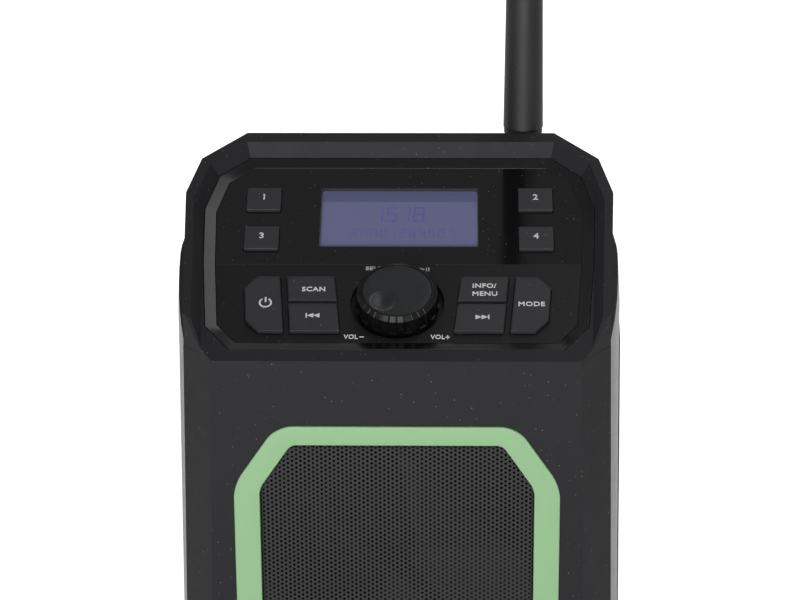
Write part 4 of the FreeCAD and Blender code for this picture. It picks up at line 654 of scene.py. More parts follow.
@dataclass
class ControlPanel:
    """Bezel, panels and keys with their printing."""

    key_edge: float = 0.6
    key_growth: float = 0.28
    key_cap: float = 2.0
    print_lift: float = 0.02
    print_thick: float = 0.03
    print_swell: float = 0.09
    type_size: float = 1.42
    type_spacing: float = 1.06
    menu_sink: float = 0.45
    menu_top: float = 0.45
    plate_top: float = -1.35
    presets: Sequence[Point] = ((-58.2, 93.6), (58.2, 93.6), (-58.2, 70.4), (58.2, 70.4))
    menu_keys: Sequence[str] = ("power_key", "scan_key", "previous_key", "menu_key", "next_key",
                                "mode_key")
    key_words: Sequence[Word] = (
        Word("SCAN", 2.4, -34.9, 40.2, "scan_key", 1.08),
        Word("INFO/", 2.4, 36.1, 42.3, "menu_key", 1.08),
        Word("MENU", 2.4, 36.3, 37.8, "menu_key", 1.1),
        Word("MODE", 2.4, 55.6, 32.0, "mode_key", 1.12),
    )
    plate_words: Sequence[Word] = (
        Word("SELECT", 2.0, -8.0, 53.4, "control_plate", 1.16),
        Word("VOL", 2.3, -18.8, 14.6, "control_plate", 0.9),
        Word("VOL", 2.3, 16.9, 14.6, "control_plate", 0.9),
    )
    key_marks: Sequence[Mark] = (
        Mark("previous_key_mark", "previous_key", -34.5, 25.4,
             ((1.6, 1.6, -1.0), (-0.9, 1.6, -1.0)), ((-2.95, 0.0, 0.62, 2.55),)),
        Mark("next_key_mark", "next_key", 34.9, 24.7,
             ((-1.6, 1.6, 1.0), (0.9, 1.6, 1.0)), ((2.95, 0.0, 0.62, 2.55),)),
    )
    plate_marks: Sequence[Mark] = (
        Mark("minus", "control_plate", -14.35, 14.6, (), ((0.0, 0.0, 1.9, 0.5),)),
        Mark("plus", "control_plate", 20.95, 14.6, (),
             ((0.0, 0.0, 1.9, 0.5), (0.0, 0.0, 0.5, 2.2))),
        Mark("play_mark", "control_plate", 11.2, 53.0, ((-1.3, 1.3, 1.0),),
             ((0.7, 0.0, 0.45, 2.1), (1.7, 0.0, 0.45, 2.1))),
    )
    figure_height: float = 3.2
    figure_rise: float = 0.9
    arrow_shape: Point = (1.15, 0.92)
    power_at: Point = (-54.7, 32.5)
    power_radii: Point = (2.0, 2.75)
    power_start: float = 122.0
    power_turn: float = 296.0
    power_steps: int = 28
    power_bar: Tuple[float, float, float, float] = (0.0, 1.75, 0.8, 2.9)

    def dress(self, shop: Workshop) -> None:
        """Rounds and finishes the panel's pieces and prints on them."""
        shop.soften("control_bezel", BEZEL_ABS, 0.18)
        shop.soften("display_panel", PANEL_ABS, 0.08)
        shop.soften("control_plate", PLATE_ABS, 0.12)
        for node in ("key_switches", "encoder_body", "select_plunger"):
            shop.coat(node, BLACK_NYLON)
        for number in range(1, 5):
            self._key(shop, "station_key_%d" % number, 0.0)
        for key in self.menu_keys:
            self._key(shop, key, self.menu_sink)
        self._print_keys(shop)
        for word in self.plate_words:
            self._word(shop, word, self.plate_top)
        for mark in self.plate_marks:
            self._mark(shop, mark, self.plate_top)

    def _key(self, shop: Workshop, key: str, sink: float) -> None:
        """Rounds a key's cap, widens it in its opening and sets its top lower.

        Args:
            shop: The workshop.
            key: The key's name.
            sink: Millimetres that the top goes down.
        """
        mesh = moved(shop.merged(key), on_panel().inverted())
        top = max(v.co.z for v in mesh.verts)
        cap = [v for v in mesh.verts if v.co.z > top - self.key_cap * MM]
        sides = [(min(v.co[i] for v in cap), max(v.co[i] for v in cap)) for i in (0, 1)]
        middle = Vector((sum(sides[0]) / 2, sum(sides[1]) / 2, 0.0))
        grow = [1 + 2 * self.key_growth * MM / (high - low) for low, high in sides]
        bmesh.ops.scale(mesh, vec=(grow[0], grow[1], 1.0), space=Matrix.Translation(-middle),
                        verts=cap)
        raised = [v for v in cap if v.co.z > top - 0.1 * MM]
        bmesh.ops.translate(mesh, vec=(0.0, 0.0, -sink * MM), verts=raised)
        shop.soften(key, KEY_ABS, self.key_edge, 3, 40.0, moved(mesh, on_panel()))

    def _print_keys(self, shop: Workshop) -> None:
        """Prints the figures, words and marks on the keys. A plain stroke is the figure one."""
        for number, (figure, (x, along)) in enumerate(zip("I234", self.presets), start=1):
            key = "station_key_%d" % number
            word = Word(figure, self.figure_height, x, along + self.figure_rise, key, 1.05)
            self._word(shop, word, 0.0)
        top = self.menu_top - self.menu_sink
        for word in self.key_words:
            self._word(shop, word, top)
        for mark in self.key_marks:
            self._mark(shop, mark, top)
        self._power_mark(shop, top)

    def _word(self, shop: Workshop, word: Word, level: float) -> None:
        """Prints a word on the panel or on a key.

        Args:
            shop: The workshop.
            word: What to print, and where.
            level: Millimetres that the surface stands out of the panel.
        """
        curve = bpy.data.curves.new("print", "FONT")
        curve.body = word.text
        curve.align_x = "CENTER"
        curve.align_y = "CENTER"
        curve.size = word.height * MM * self.type_size
        curve.space_character = self.type_spacing
        curve.bevel_depth = self.print_swell * MM
        curve.bevel_resolution = 0
        curve.extrude = self.print_thick * MM / 2
        curve.resolution_u = 3
        source = bpy.data.objects.new("print source", curve)
        bpy.context.scene.collection.objects.link(source)
        bpy.context.view_layer.update()
        flat = bpy.data.meshes.new_from_object(source)
        mesh = bmesh.new()
        mesh.from_mesh(flat)
        bpy.data.objects.remove(source)
        bpy.data.curves.remove(curve)
        bpy.data.meshes.remove(flat)
        bmesh.ops.remove_doubles(mesh, verts=mesh.verts, dist=SAME_PLACE)
        bmesh.ops.scale(mesh, vec=(word.widen, 1.0, 1.0), verts=mesh.verts)
        moved(mesh, on_panel(word.x, word.along, level + self.print_lift))
        letters = "".join(c for c in word.text if c.isalnum())
        name = "print_%s_%s_%s" % (word.node, letters, "left" if word.x < 0 else "right")
        shop.piece(name, mesh, WHITE_INK, word.node)

    def _bar(self, mesh: bmesh.types.BMesh, x: float, y: float, width: float,
             height: float) -> None:
        """Adds a flat bar to a mark.

        Args:
            mesh: The mark.
            x: Middle of the bar across.
            y: Middle of the bar upwards.
            width: The bar's width.
            height: The bar's height.
        """
        made = bmesh.ops.create_cube(mesh, size=1.0)["verts"]
        bmesh.ops.scale(mesh, vec=(width * MM, height * MM, self.print_thick * MM), verts=made)
        bmesh.ops.translate(mesh, vec=(x * MM, y * MM, 0.0), verts=made)

    def _arrow(self, mesh: bmesh.types.BMesh, x: float, size: float, way: float) -> None:
        """Adds a triangle to a mark.

        Args:
            mesh: The mark.
            x: Middle of the triangle across.
            size: Radius round its corners.
            way: One to point right, minus one to point left.
        """
        made = bmesh.ops.create_cone(mesh, cap_ends=True, segments=3, radius1=size * MM,
                                     radius2=size * MM, depth=self.print_thick * MM)["verts"]
        turn = Matrix.Rotation(math.radians(-90.0 * way), 4, "Z")
        bmesh.ops.transform(mesh, matrix=turn, verts=made)
        bmesh.ops.scale(mesh, vec=(*self.arrow_shape, 1.0), verts=made)
        bmesh.ops.translate(mesh, vec=(x * MM, 0.0, 0.0), verts=made)

    def _mark(self, shop: Workshop, mark: Mark, level: float) -> None:
        """Prints a mark on the panel or on a key.

        Args:
            shop: The workshop.
            mark: What to print, and where.
            level: Millimetres that the surface stands out of the panel.
        """
        mesh = bmesh.new()
        for arrow in mark.arrows:
            self._arrow(mesh, *arrow)
        for bar in mark.bars:
            self._bar(mesh, *bar)
        moved(mesh, on_panel(mark.x, mark.along, level + self.print_lift))
        shop.piece("print_" + mark.name, mesh, WHITE_INK, mark.node)

    def _power_mark(self, shop: Workshop, level: float) -> None:
        """Prints an open ring with a bar in its gap.

        Args:
            shop: The workshop.
            level: Millimetres that the key's top stands out of the panel.
        """
        mesh = bmesh.new()
        start = math.radians(self.power_start)
        way = Vector((math.cos(start), math.sin(start), 0.0))
        ends = [mesh.verts.new(way * radius * MM) for radius in self.power_radii]
        edge = mesh.edges.new(ends)
        bmesh.ops.spin(mesh, geom=[edge] + ends, cent=(0, 0, 0), axis=(0, 0, 1),
                       steps=self.power_steps, angle=math.radians(self.power_turn),
                       use_merge=False)
        raised = bmesh.ops.extrude_face_region(mesh, geom=mesh.faces[:])
        bmesh.ops.translate(mesh, vec=(0, 0, self.print_thick * MM),
                            verts=[g for g in raised["geom"] if isinstance(g, bmesh.types.BMVert)])
        bmesh.ops.recalc_face_normals(mesh, faces=mesh.faces)
        self._bar(mesh, *self.power_bar)
        moved(mesh, on_panel(*self.power_at, level + self.print_lift))
        shop.piece("print_power_mark", mesh, WHITE_INK, "power_key")


@dataclass
class Display:
    """Sunken liquid crystal display with its window wall, edge line and segments."""

    centre: float = 83.6
    half: float = 33.78
    tall: float = 17.53
    corner: float = 1.3
    top: float = -1.36
    floor: float = -2.9
    line: float = 0.28
    rim: float = 0.15
    wall: float = 0.35
    edge: float = 0.3
    film: float = 0.04
    segment_thick: float = 0.03
    # Lower and upper end, up the slope, of the painted shadow under the window's upper edge.
    painted_shadow: Point = (94.4, 100.4)
    digit_tall: float = 8.8
    digit_wide: float = 4.7
    stroke: float = 0.8
    digits_at: float = 86.9
    slant: float = 0.06
    digits: Sequence[Tuple[str, float]] = (("bc", -9.3), ("acdfg", -3.2), ("bc", 2.2),
                                           ("abcdefg", 8.4))
    row_at: float = 75.6
    row_start: float = -19.0
    row_step: float = 4.1
    row_wide: float = 2.7
    row_tall: float = 4.8
    row_stroke: float = 0.5
    row: Sequence[str] = ("acdfg", "bcef", "abcefg", "abcdef", "bc", "abdeg", "abcdefg", "bcfg",
                          "abcdfg", "abcdef", "abc")

    def dress(self, shop: Workshop) -> None:
        """Builds the window, the crystal and what it shows."""
        self._wall(shop)
        face = self._plate(self.tall, self.centre, self.floor)
        shop.piece("screen_face", face, CRYSTAL, "screen_window")
        # A darker strip of the crystal is painted shadow of the window's upper edge.
        low, high = self.painted_shadow
        painted_shadow = self._plate((high - low) / 2, (high + low) / 2, self.floor + self.film / 2)
        shop.piece("screen_painted_shadow", painted_shadow, CRYSTAL_PAINTED_SHADOW, "screen_window")
        self._edge_line(shop)
        shop.piece("screen_digits", self._digits(), SEGMENT, "screen_window")
        shop.piece("screen_row", self._row(), FAINT_SEGMENT, "screen_window")
        shop.coat("screen_module", DISPLAY_CELL)

    def _plate(self, tall: float, along: float, level: float) -> bmesh.types.BMesh:
        """Makes a film as wide as the window.

        Args:
            tall: Half of its height.
            along: Its middle, up the slope.
            level: Its top, out of the panel.

        Returns:
            The film's mesh.
        """
        mesh = bmesh.new()
        bmesh.ops.create_cube(mesh, size=1.0)
        bmesh.ops.scale(mesh, vec=(2 * self.half * MM, 2 * tall * MM, self.film * MM),
                        verts=mesh.verts)
        return moved(mesh, on_panel(0.0, along, level - self.film / 2))

    def _outline(self, mesh: bmesh.types.BMesh, inset: float, level: float,
                 radius: float) -> List[bmesh.types.BMEdge]:
        """Draws the window's outline with rounded corners.

        Args:
            mesh: The mesh to draw in.
            inset: How far it lies inside the window's edge.
            level: Its height out of the panel.
            radius: Radius of the corners.

        Returns:
            The outline's edges.
        """
        half, tall = self.half - inset, self.tall - inset
        places = ((half, tall), (-half, tall), (-half, -tall), (half, -tall))
        return outlined(mesh, places, level, (((0, 1, 2, 3), radius),), 6)

    def _wall(self, shop: Workshop) -> None:
        """Builds the rim and the wall that lead down to the crystal."""
        mesh = bmesh.new()
        outer = self._outline(mesh, 0.0, self.top, 0.05)
        rim = self._outline(mesh, self.rim, self.top, self.corner)
        bmesh.ops.bridge_loops(mesh, edges=outer + rim)
        foot = self._outline(mesh, self.wall, self.floor, self.corner)
        bmesh.ops.bridge_loops(mesh, edges=rim + foot)
        bmesh.ops.recalc_face_normals(mesh, faces=mesh.faces)
        flat = max(mesh.faces, key=lambda f: abs(f.normal.z))
        if flat.normal.z < 0:
            bmesh.ops.reverse_faces(mesh, faces=mesh.faces)
        moved(mesh, on_panel(0.0, self.centre, 0.0))
        shop.piece("screen_wall", mesh, WINDOW_WALL, "screen_window", replaces="screen_window")

    def _edge_line(self, shop: Workshop) -> None:
        """Builds the pale line round the crystal's edge."""
        mesh = bmesh.new()
        outer, inner = (self._outline(mesh, inset, self.floor + 0.05, self.corner)
                        for inset in (self.edge, self.edge + self.line))
        bmesh.ops.bridge_loops(mesh, edges=outer + inner)
        if sum(f.normal.z for f in mesh.faces) < 0:
            bmesh.ops.reverse_faces(mesh, faces=mesh.faces)
        moved(mesh, on_panel(0.0, self.centre, 0.0))
        shop.piece("screen_edge", mesh, WINDOW_EDGE, "screen_window")

    def _segments(self, mesh: bmesh.types.BMesh, lit: str, x: float, along: float, wide: float,
                  tall: float, stroke: float) -> None:
        """Draws a figure of up to seven bars, named a to g as on any such display.

        Args:
            mesh: The mesh to draw in.
            lit: The names of the bars to draw.
            x: The figure's middle across.
            along: The figure's middle up the slope.
            wide: The figure's width.
            tall: The figure's height.
            stroke: The bars' width.
        """
        quarter = tall / 4
        level = {"a": (0, 2), "d": (0, -2), "g": (0, 0)}
        upright = {"b": (1, 1), "c": (1, -1), "e": (-1, -1), "f": (-1, 1)}
        for name in lit:
            made = bmesh.ops.create_cube(mesh, size=1.0)["verts"]
            if name in level:
                size = (wide - stroke * 0.7, stroke)
                at = (0.0, level[name][1] * (quarter - stroke / 4))
            else:
                size = (stroke, tall / 2 - stroke * 0.7)
                at = (upright[name][0] * (wide - stroke) / 2, upright[name][1] * quarter)
            bmesh.ops.scale(mesh, vec=(size[0] * MM, size[1] * MM, self.segment_thick * MM),
                            verts=made)
            shift = x + at[0] + at[1] * self.slant
            bmesh.ops.translate(mesh, verts=made, vec=(
                shift * MM, (along + at[1]) * MM, (self.floor + self.segment_thick) * MM))

    def _digits(self) -> bmesh.types.BMesh:
        """Draws the figures of the clock."""
        mesh = bmesh.new()
        for lit, x in self.digits:
            self._segments(mesh, lit, x, self.digits_at, self.digit_wide, self.digit_tall,
                           self.stroke)
        return moved(mesh, on_panel())

    def _row(self) -> bmesh.types.BMesh:
        """Draws the row of small figures under the clock."""
        mesh = bmesh.new()
        for place, lit in enumerate(self.row):
            self._segments(mesh, lit, self.row_start + place * self.row_step, self.row_at,
                           self.row_wide, self.row_tall, self.row_stroke)
        return moved(mesh, on_panel())


@dataclass
class Knob:
    """Rotary knob: a facetted skirt and bevel, a face ring, and a face with a finger dimple."""

    along: float = 33.4
    bore: float = 3.02
    foot: float = -3.35
    top: float = 7.0
    skirt_radius: float = 17.45
    bevel_radius: float = 16.8
    bevel_foot: float = 5.1
    ring_radius: float = 15.0
    ring_inner: float = 14.35
    cap_radius: float = 14.2
    cap_drop: float = 0.2
    facets: int = 32
    facet_steps: int = 8
    groove_depth: float = 0.32
    scoop_depth: float = 0.55
    scoop_foot: float = -1.1
    dimple_at: Point = (-5.6, -5.9)
    dimple_radius: float = 5.5
    dimple_depth: float = 1.6
    cap_rings: int = 34
    cap_hub: float = 1.6
    cap_wall: float = 2.4
    cap_seat: float = 2.8
    cap_fall: float = 0.12
    cap_fall_power: int = 12
    panel: float = 0.45

    def dress(self, shop: Workshop) -> None:
        """Builds the grip and the face."""
        shop.piece("knob_grip_look", self._grip(), KNOB_ABS, "knob_grip", replaces="knob_grip",
                   sharp=18.0)
        shop.piece("knob_cap_look", self._cap(), KNOB_FACE, "knob_cap", replaces="knob_cap",
                   sharp=60.0)
        shop.coat("encoder_shaft", STEEL)

    def _grip(self) -> bmesh.types.BMesh:
        """Turns the grip's profile, then flattens its facets and presses the grooves and scoops."""
        side, ring, inner = self.skirt_radius, self.ring_radius, self.ring_inner
        profile = [
            (self.bore, self.foot), (side - 0.4, self.foot), (side, self.foot + 0.4),
            (side, self.scoop_foot - 0.05), (side, self.scoop_foot + 0.15), (side - 0.1, 1.0),
            (side - 0.3, 3.0), (self.bevel_radius + 0.08, self.bevel_foot - 0.35),
            (self.bevel_radius, self.bevel_foot),
            (self.bevel_radius - 0.25, self.bevel_foot + 0.25),
            (ring + 0.15, self.top - 0.2), (ring, self.top - 0.05), (ring - 0.15, self.top),
            (inner + 0.12, self.top), (inner, self.top - 0.12), (inner, self.top - self.cap_seat),
            (self.bore, self.top - self.cap_seat),
        ]
        mesh = turned(profile, self.facets * self.facet_steps, True)
        for vert in mesh.verts:
            self._press(vert)
        return moved(mesh, on_panel(0.0, self.along, 0.0))

    def _press(self, vert: bmesh.types.BMVert) -> None:
        """Moves one point of the skirt in to its facet, groove or scoop."""
        radius = math.hypot(vert.co.x, vert.co.y) / MM
        height = vert.co.z / MM
        if radius < self.ring_radius + 0.05 or height < self.foot + 0.2:
            return
        turn = math.atan2(vert.co.y, vert.co.x) * self.facets / math.tau
        inside = turn - math.floor(turn) - 0.5
        facet = math.cos(math.pi / self.facets) / math.cos(inside * math.tau / self.facets)
        depth = radius * (1.0 - facet)
        if abs(inside) > self.panel:
            depth += self.groove_depth
        scooped = math.floor(turn) % 2 and self.scoop_foot < height < self.bevel_foot - 0.2
        if scooped and abs(inside) < self.panel:
            depth += self.scoop_depth
        share = (radius - depth) / radius
        vert.co.x *= share
        vert.co.y *= share

    def _cap(self) -> bmesh.types.BMesh:
        """Makes the face from a ringed disc and presses the dimple into it."""
        mesh = bmesh.new()
        bmesh.ops.create_circle(mesh, cap_ends=True, cap_tris=False, segments=96,
                                radius=self.cap_radius * MM)
        step = (self.cap_radius - self.cap_hub) / self.cap_rings
        for _ in range(self.cap_rings):
            middle = max(mesh.faces, key=lambda f: len(f.verts))
            bmesh.ops.inset_region(mesh, faces=[middle], thickness=step * MM, use_boundary=True,
                                   use_even_offset=True)
        level = self.top - self.cap_drop
        bmesh.ops.translate(mesh, vec=(0, 0, level * MM), verts=mesh.verts)
        if sum(f.normal.z for f in mesh.faces) < 0:
            bmesh.ops.reverse_faces(mesh, faces=mesh.faces)
        rim = [e for e in mesh.edges if len(e.link_faces) == 1]
        wall = bmesh.ops.extrude_edge_only(mesh, edges=rim)
        foot = [g for g in wall["geom"] if isinstance(g, bmesh.types.BMVert)]
        bmesh.ops.translate(mesh, vec=(0, 0, -self.cap_wall * MM), verts=foot)
        bmesh.ops.contextual_create(mesh, geom=[e for e in mesh.edges if len(e.link_faces) == 1])
        bmesh.ops.recalc_face_normals(mesh, faces=mesh.faces)
        for vert in mesh.verts:
            if vert.co.z < (level - 0.01) * MM:
                continue
            away = math.hypot(vert.co.x / MM - self.dimple_at[0],
                              vert.co.y / MM - self.dimple_at[1])
            share = min(1.0, away / self.dimple_radius)
            vert.co.z -= self.dimple_depth * MM * (1 - share * share)
            edge = math.hypot(vert.co.x, vert.co.y) / MM / self.cap_radius
            vert.co.z -= self.cap_fall * MM * edge ** self.cap_fall_power
        return moved(mesh, on_panel(0.0, self.along, 0.0))


@dataclass
class SpeakerFront:
    """Trim ring, perforated sheet and the speaker behind them."""

    centre: float = 102.0
    outer: CutFrame = CutFrame(67.6, 69.75, 18.0, 26.7, 12.8, 19.5)
    inner: CutFrame = CutFrame(56.95, 61.4, 13.35, 19.9, 4.3, 9.6)
    ring_front: float = -1.0
    ring_back: float = 2.0
    skirt: float = 1.8
    ring_edge: float = 0.4
    pitch: float = 2.0
    hole: float = 0.6
    sheet_front: float = 2.05
    sheet_thick: float = 0.4
    sheet_gap: float = 0.35
    # Holes stop this far below the opening's top, where the margin's painted shadow shows.
    painted_shadow_top: float = 1.6
    sides: int = 10
    margin: float = 1.2
    margin_top: float = 1.3
    margin_hidden: float = 2.4
    margin_drop: float = 0.3
    seat: float = 2.95

    def dress(self, shop: Workshop) -> None:
        """Builds the ring and the sheet and finishes the speaker."""
        shop.piece("speaker_trim_look", self._ring(), TRIM_ABS, "speaker_trim",
                   replaces="speaker_trim", sharp=50.0)
        shop.piece("speaker_grille_look", self._sheet(), SHEET_COAT, "speaker_grille",
                   replaces="speaker_grille")
        # The black margin round the holes is painted shadow of the ring's inner edge.
        shop.piece("speaker_grille_painted_shadow", self._painted_shadow_margin(), SHADOW_BLACK, "speaker_grille")
        for finish, nodes in {PULP: ("speaker_cone", "speaker_gasket"), DOME: ("dust_cap",),
                              BLACK_NYLON: ("speaker_basket",), FERRITE: ("speaker_magnet",),
                              WINDING: ("voice_coil",)}.items():
            for node in nodes:
                shop.coat(node, finish)

    def _ring(self) -> bmesh.types.BMesh:
        """Bridges the ring's outlines from its outer foot over the front to its skirt."""
        mesh = bmesh.new()
        hidden = self.inner.grown(self.skirt)
        steps = ((self.outer, 0.0), (self.outer, -self.ring_front), (self.inner, -self.ring_front),
                 (self.inner, -self.ring_back), (hidden, -self.ring_back), (hidden, 0.0))
        loops = [outline.loop(mesh, level) for outline, level in steps]
        front = loops[1] + loops[2]
        ringed(mesh, loops)
        bmesh.ops.bevel(mesh, geom=front, offset=self.ring_edge * MM, offset_type="OFFSET",
                        segments=3, profile=0.5, affect="EDGES", material=-1)
        return moved(mesh, on_face(0.0, self.centre))

    def _cell(self) -> bpy.types.Mesh:
        """Makes one six-cornered cell with its round hole and the hole's wall."""
        cell = bmesh.new()
        bmesh.ops.create_circle(cell, cap_ends=False, segments=6,
                                radius=self.pitch / math.sqrt(3) * MM)
        bmesh.ops.rotate(cell, cent=(0, 0, 0), matrix=Matrix.Rotation(math.radians(30.0), 3, "Z"),
                         verts=cell.verts)
        inner = set(bmesh.ops.create_circle(cell, cap_ends=False, segments=self.sides,
                                            radius=self.hole * MM)["verts"])
        bmesh.ops.triangle_fill(cell, use_beauty=True, edges=cell.edges[:])
        for face in [f for f in cell.faces if all(v in inner for v in f.verts)]:
            cell.faces.remove(face)
        rim = [e for e in cell.edges
               if all(v in inner for v in e.verts) and len(e.link_faces) == 1]
        wall = bmesh.ops.extrude_edge_only(cell, edges=rim)
        foot = [g for g in wall["geom"] if isinstance(g, bmesh.types.BMVert)]
        bmesh.ops.translate(cell, vec=(0, 0, -self.sheet_thick * MM), verts=foot)
        bmesh.ops.recalc_face_normals(cell, faces=cell.faces)
        if max(cell.faces, key=lambda f: f.calc_area()).normal.z < 0:
            bmesh.ops.reverse_faces(cell, faces=cell.faces)
        pattern = bpy.data.meshes.new("cell")
        cell.to_mesh(pattern)
        cell.free()
        return pattern

    def _sheet(self) -> bmesh.types.BMesh:
        """Repeats the cell over the opening and stands the sheet upright."""
        pattern = self._cell()
        edge = self.inner.grown(-self.sheet_gap)
        sheet = bmesh.new()
        column = self.pitch * math.sqrt(3) / 2
        across = int(self.inner.half / column) + 1
        up = int(self.inner.tall / self.pitch) + 1
        at = Vector((0.0, 0.0, 0.0))
        for i in range(-across, across + 1):
            for j in range(-up, up + 1):
                x = i * column
                y = (j + 0.5 * (i % 2)) * self.pitch
                if not edge.holds(x, y) or y > self.inner.tall - self.painted_shadow_top:
                    continue
                step = Vector((x * MM, y * MM, 0.0)) - at
                pattern.transform(Matrix.Translation(step))
                at += step
                sheet.from_mesh(pattern)
        bpy.data.meshes.remove(pattern)
        bmesh.ops.remove_doubles(sheet, verts=sheet.verts, dist=SAME_CORNER)
        return moved(sheet, on_face(self.sheet_front, self.centre))

    def _painted_shadow_margin(self) -> bmesh.types.BMesh:
        """Builds the sheet's black margin, a little lower than its holes, which paints the shadow
        of the ring's inner edge.
        """
        mesh = bmesh.new()
        inside = self.inner.grown(-self.margin)
        inside = replace(inside, tall=inside.tall - self.margin_top)
        outside = self.inner.grown(self.margin_hidden)
        front, back = -self.margin_drop, self.sheet_front - self.seat
        steps = ((inside, front), (outside, front), (outside, back), (inside, back))
        ringed(mesh, [outline.loop(mesh, level) for outline, level in steps])
        return moved(mesh, on_face(self.sheet_front, self.centre))


@dataclass
class Antenna:
    """Folding antenna with its fork, ferrule and tapering sleeve."""

    x: float = 53.5
    y: float = 56.1
    pivot: float = 250.0
    foot_radius: float = 8.7
    tip_radius: float = 6.0
    start: float = 10.2
    length: float = 230.6
    dome: float = 3.6
    rings: int = 13
    dome_rings: int = 6
    steps: int = 72

    def dress(self, shop: Workshop) -> None:
        """Builds the sleeve and finishes the hinge."""
        shop.soften("antenna_base", BLACK_NYLON, 0.6)
        shop.soften("antenna_root", BLACK_NYLON, 0.4)
        shop.piece("antenna_whip_look", self._sleeve(), SLEEVE, "antenna_whip",
                   replaces="antenna_whip")

    def _sleeve(self) -> bmesh.types.BMesh:
        """Turns the sleeve's profile about its axis."""
        straight = self.length - self.dome
        profile = [(0.0, self.start), (self.foot_radius - 0.5, self.start),
                   (self.foot_radius, self.start + 0.5)]
        for step in range(1, self.rings):
            share = step / self.rings
            profile.append((self.foot_radius + (self.tip_radius - self.foot_radius) * share,
                            self.start + (straight - self.start) * share))
        for step in range(self.dome_rings + 1):
            turn = math.radians(90.0 * step / self.dome_rings)
            profile.append((self.tip_radius * math.cos(turn),
                            straight + self.dome * math.sin(turn)))
        at = Matrix.Translation((self.x * MM, self.y * MM, self.pivot * MM))
        return moved(turned(profile, self.steps, False), at)


@dataclass(frozen=True)
class SoftBox:
    """One soft box, in metres and degrees. A strength of one makes its face white.

    A box that only shines back is a reflector card: it shows in glossy surfaces and lights nothing.
    """

    name: str
    place: Triple
    turn: Triple
    width: float
    height: float
    strength: float
    only_mirrored: bool = False


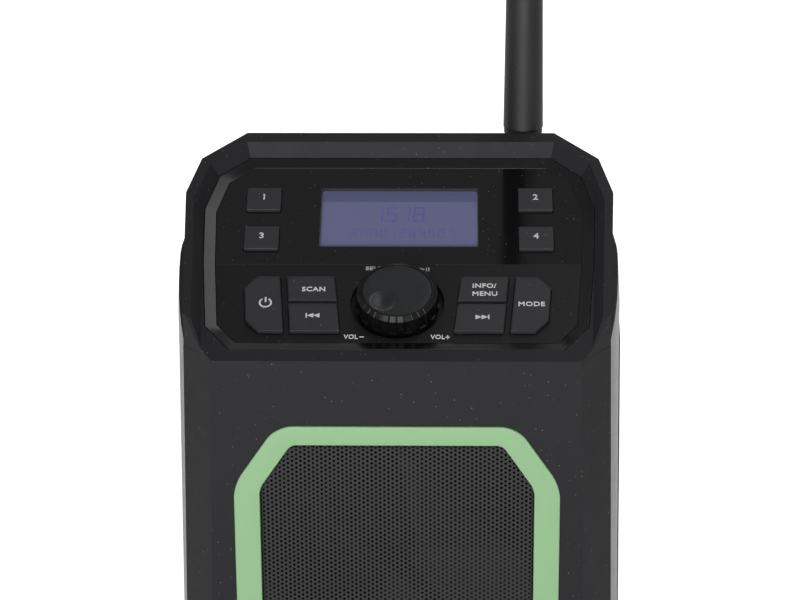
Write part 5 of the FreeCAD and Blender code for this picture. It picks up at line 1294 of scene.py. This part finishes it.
@dataclass
class Studio:
    """Pale floor, white surroundings, soft boxes and the camera."""

    eye: Triple = (0.02616, -1.13337, 0.65413)
    right: Triple = (0.99977305, 0.02047944, -0.00586859)
    down: Triple = (0.00215961, -0.37148211, -0.9284376)
    lens: float = 128.205
    ceiling: float = 0.28
    walls: float = 0.6
    ambient: float = 0.13
    mirrored: float = 0.35
    floor_size: float = 6.0
    floor_lift: float = 0.86
    floor_colour: str = "#e6e6e4"
    fade: Point = (0.45, 0.82)
    sensor: float = 36.0
    clip: Point = (0.05, 50.0)
    boxes: Sequence[SoftBox] = (
        SoftBox("front soft box", (-0.2, -1.75, 0.52), (90.0, 0.0, 0.0), 1.6, 0.9, 5.0),
        SoftBox("back soft box", (0.2, 1.8, 0.75), (-90.0, 0.0, 0.0), 2.2, 1.0, 3.6),
        SoftBox("right reflector card", (0.55, 0.25, 1.55), (0.0, 0.0, 0.0), 0.6, 2.0, 1.4, True),
    )

    def build(self) -> None:
        """Sets the floor, the surroundings, the lights and the camera."""
        self._floor()
        self._surroundings()
        for box in self.boxes:
            self._hang(box)
        self._camera()
        bpy.context.scene.view_settings.view_transform = "Standard"

    def _background_seen(self, tree: bpy.types.NodeTree, glossy: float) -> bpy.types.NodeSocket:
        """Gives how much of the background a ray shows, and nought for the rays that light.

        Args:
            tree: The node tree.
            glossy: The share that reflections show.

        Returns:
            One for camera and transmission rays, the share for glossy rays.
        """
        path = add_node(tree, "ShaderNodeLightPath").outputs
        share = add_node(tree, "ShaderNodeMath", {"operation": "MULTIPLY"}, {
            0: path["Is Glossy Ray"], 1: glossy})
        seen = path["Is Camera Ray"]
        for other in (share.outputs["Value"], path["Is Transmission Ray"]):
            seen = add_node(tree, "ShaderNodeMath", {"operation": "MAXIMUM"}, {
                0: seen, 1: other}).outputs["Value"]
        return seen

    def _floor(self) -> None:
        """Lays a pale floor that looks white and keeps the radio's shadow."""
        mesh = bmesh.new()
        bmesh.ops.create_grid(mesh, x_segments=2, y_segments=2, size=self.floor_size / 2)
        data = bpy.data.meshes.new("studio_floor")
        mesh.to_mesh(data)
        mesh.free()
        item = bpy.data.objects.new("studio_floor", data)
        bpy.context.scene.collection.objects.link(item)
        material = bpy.data.materials.new("white paper sweep")
        material.use_nodes = True
        tree = material.node_tree
        tree.nodes.clear()
        paper = add_node(tree, "ShaderNodeBsdfDiffuse", inputs={"Color": srgb(self.floor_colour)})
        strength = add_node(tree, "ShaderNodeMath", {"operation": "MULTIPLY"}, {
            0: self._background_seen(tree, self.mirrored), 1: self.floor_lift})
        glow = add_node(tree, "ShaderNodeEmission", inputs={"Strength": strength.outputs["Value"]})
        both = add_node(tree, "ShaderNodeAddShader", inputs={
            0: paper.outputs["BSDF"], 1: glow.outputs["Emission"]})
        add_node(tree, "ShaderNodeOutputMaterial", inputs={"Surface": both.outputs["Shader"]})
        data.materials.append(material)

    def _surroundings(self) -> None:
        """Makes white walls under a grey ceiling, and an even glow for the light that they give."""
        world = bpy.data.worlds.new("studio")
        bpy.context.scene.world = world
        world.use_nodes = True
        tree = world.node_tree
        tree.nodes.clear()
        way = add_node(tree, "ShaderNodeTexCoord").outputs["Generated"]
        height = add_node(tree, "ShaderNodeSeparateXYZ", inputs={"Vector": way}).outputs["Z"]
        fade = add_node(tree, "ShaderNodeMapRange", {"interpolation_type": "SMOOTHSTEP"}, {
            "Value": height, "From Min": self.fade[0], "From Max": self.fade[1],
            "To Min": self.walls, "To Max": self.ceiling})
        direct = add_node(tree, "ShaderNodeLightPath").outputs["Is Camera Ray"]
        level = add_node(tree, "ShaderNodeMath", {"operation": "MAXIMUM"}, {
            0: fade.outputs["Result"], 1: direct})
        shown, glow = (
            add_node(tree, "ShaderNodeBackground", inputs={
                "Strength": strength, "Color": srgb("#ffffff")}).outputs["Background"]
            for strength in (level.outputs["Value"], self.ambient))
        mix = add_node(tree, "ShaderNodeMixShader", inputs={
            "Fac": self._background_seen(tree, 1.0), 1: glow, 2: shown})
        add_node(tree, "ShaderNodeOutputWorld", inputs={"Surface": mix.outputs["Shader"]})

    @staticmethod
    def _hang(box: SoftBox) -> None:
        """Hangs one soft box."""
        data = bpy.data.lights.new(box.name, "AREA")
        data.shape = "RECTANGLE"
        data.size = box.width
        data.size_y = box.height
        data.energy = box.strength * math.pi * box.width * box.height
        item = bpy.data.objects.new(box.name, data)
        bpy.context.scene.collection.objects.link(item)
        item.location = box.place
        item.rotation_euler = [math.radians(angle) for angle in box.turn]
        item.visible_camera = False
        item.visible_diffuse = not box.only_mirrored

    def _camera(self) -> None:
        """Places the camera where the photograph was taken from."""
        data = bpy.data.cameras.new("camera")
        data.lens = self.lens
        data.sensor_width = self.sensor
        data.clip_start, data.clip_end = self.clip
        data.dof.use_dof = False
        item = bpy.data.objects.new("camera", data)
        bpy.context.scene.collection.objects.link(item)
        right = Vector(self.right).normalized()
        up = -Vector(self.down)
        up = (up - right * up.dot(right)).normalized()
        back = right.cross(up)
        item.matrix_world = Matrix((
            (right.x, up.x, back.x, self.eye[0]),
            (right.y, up.y, back.y, self.eye[1]),
            (right.z, up.z, back.z, self.eye[2]),
            (0.0, 0.0, 0.0, 1.0),
        ))
        bpy.context.scene.camera = item


def main() -> None:
    """Builds the looks around the solids."""
    logging.basicConfig(level=logging.INFO, format="%(message)s")
    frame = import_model()
    groups = frame["record"]["behaviour"]["bodies"]
    bodies = {node: body for body, members in groups.items() for node in members}
    shop = Workshop(frame["nodes"], bodies)
    for part in (Housing(), ControlPanel(), Display(), Knob(), SpeakerFront(), Antenna()):
        part.dress(shop)
        LOG.info("%s done", type(part).__name__)
    Studio().build()
    LOG.info("%d pieces modelled", shop.made)


if __name__ == "__main__":
    main()
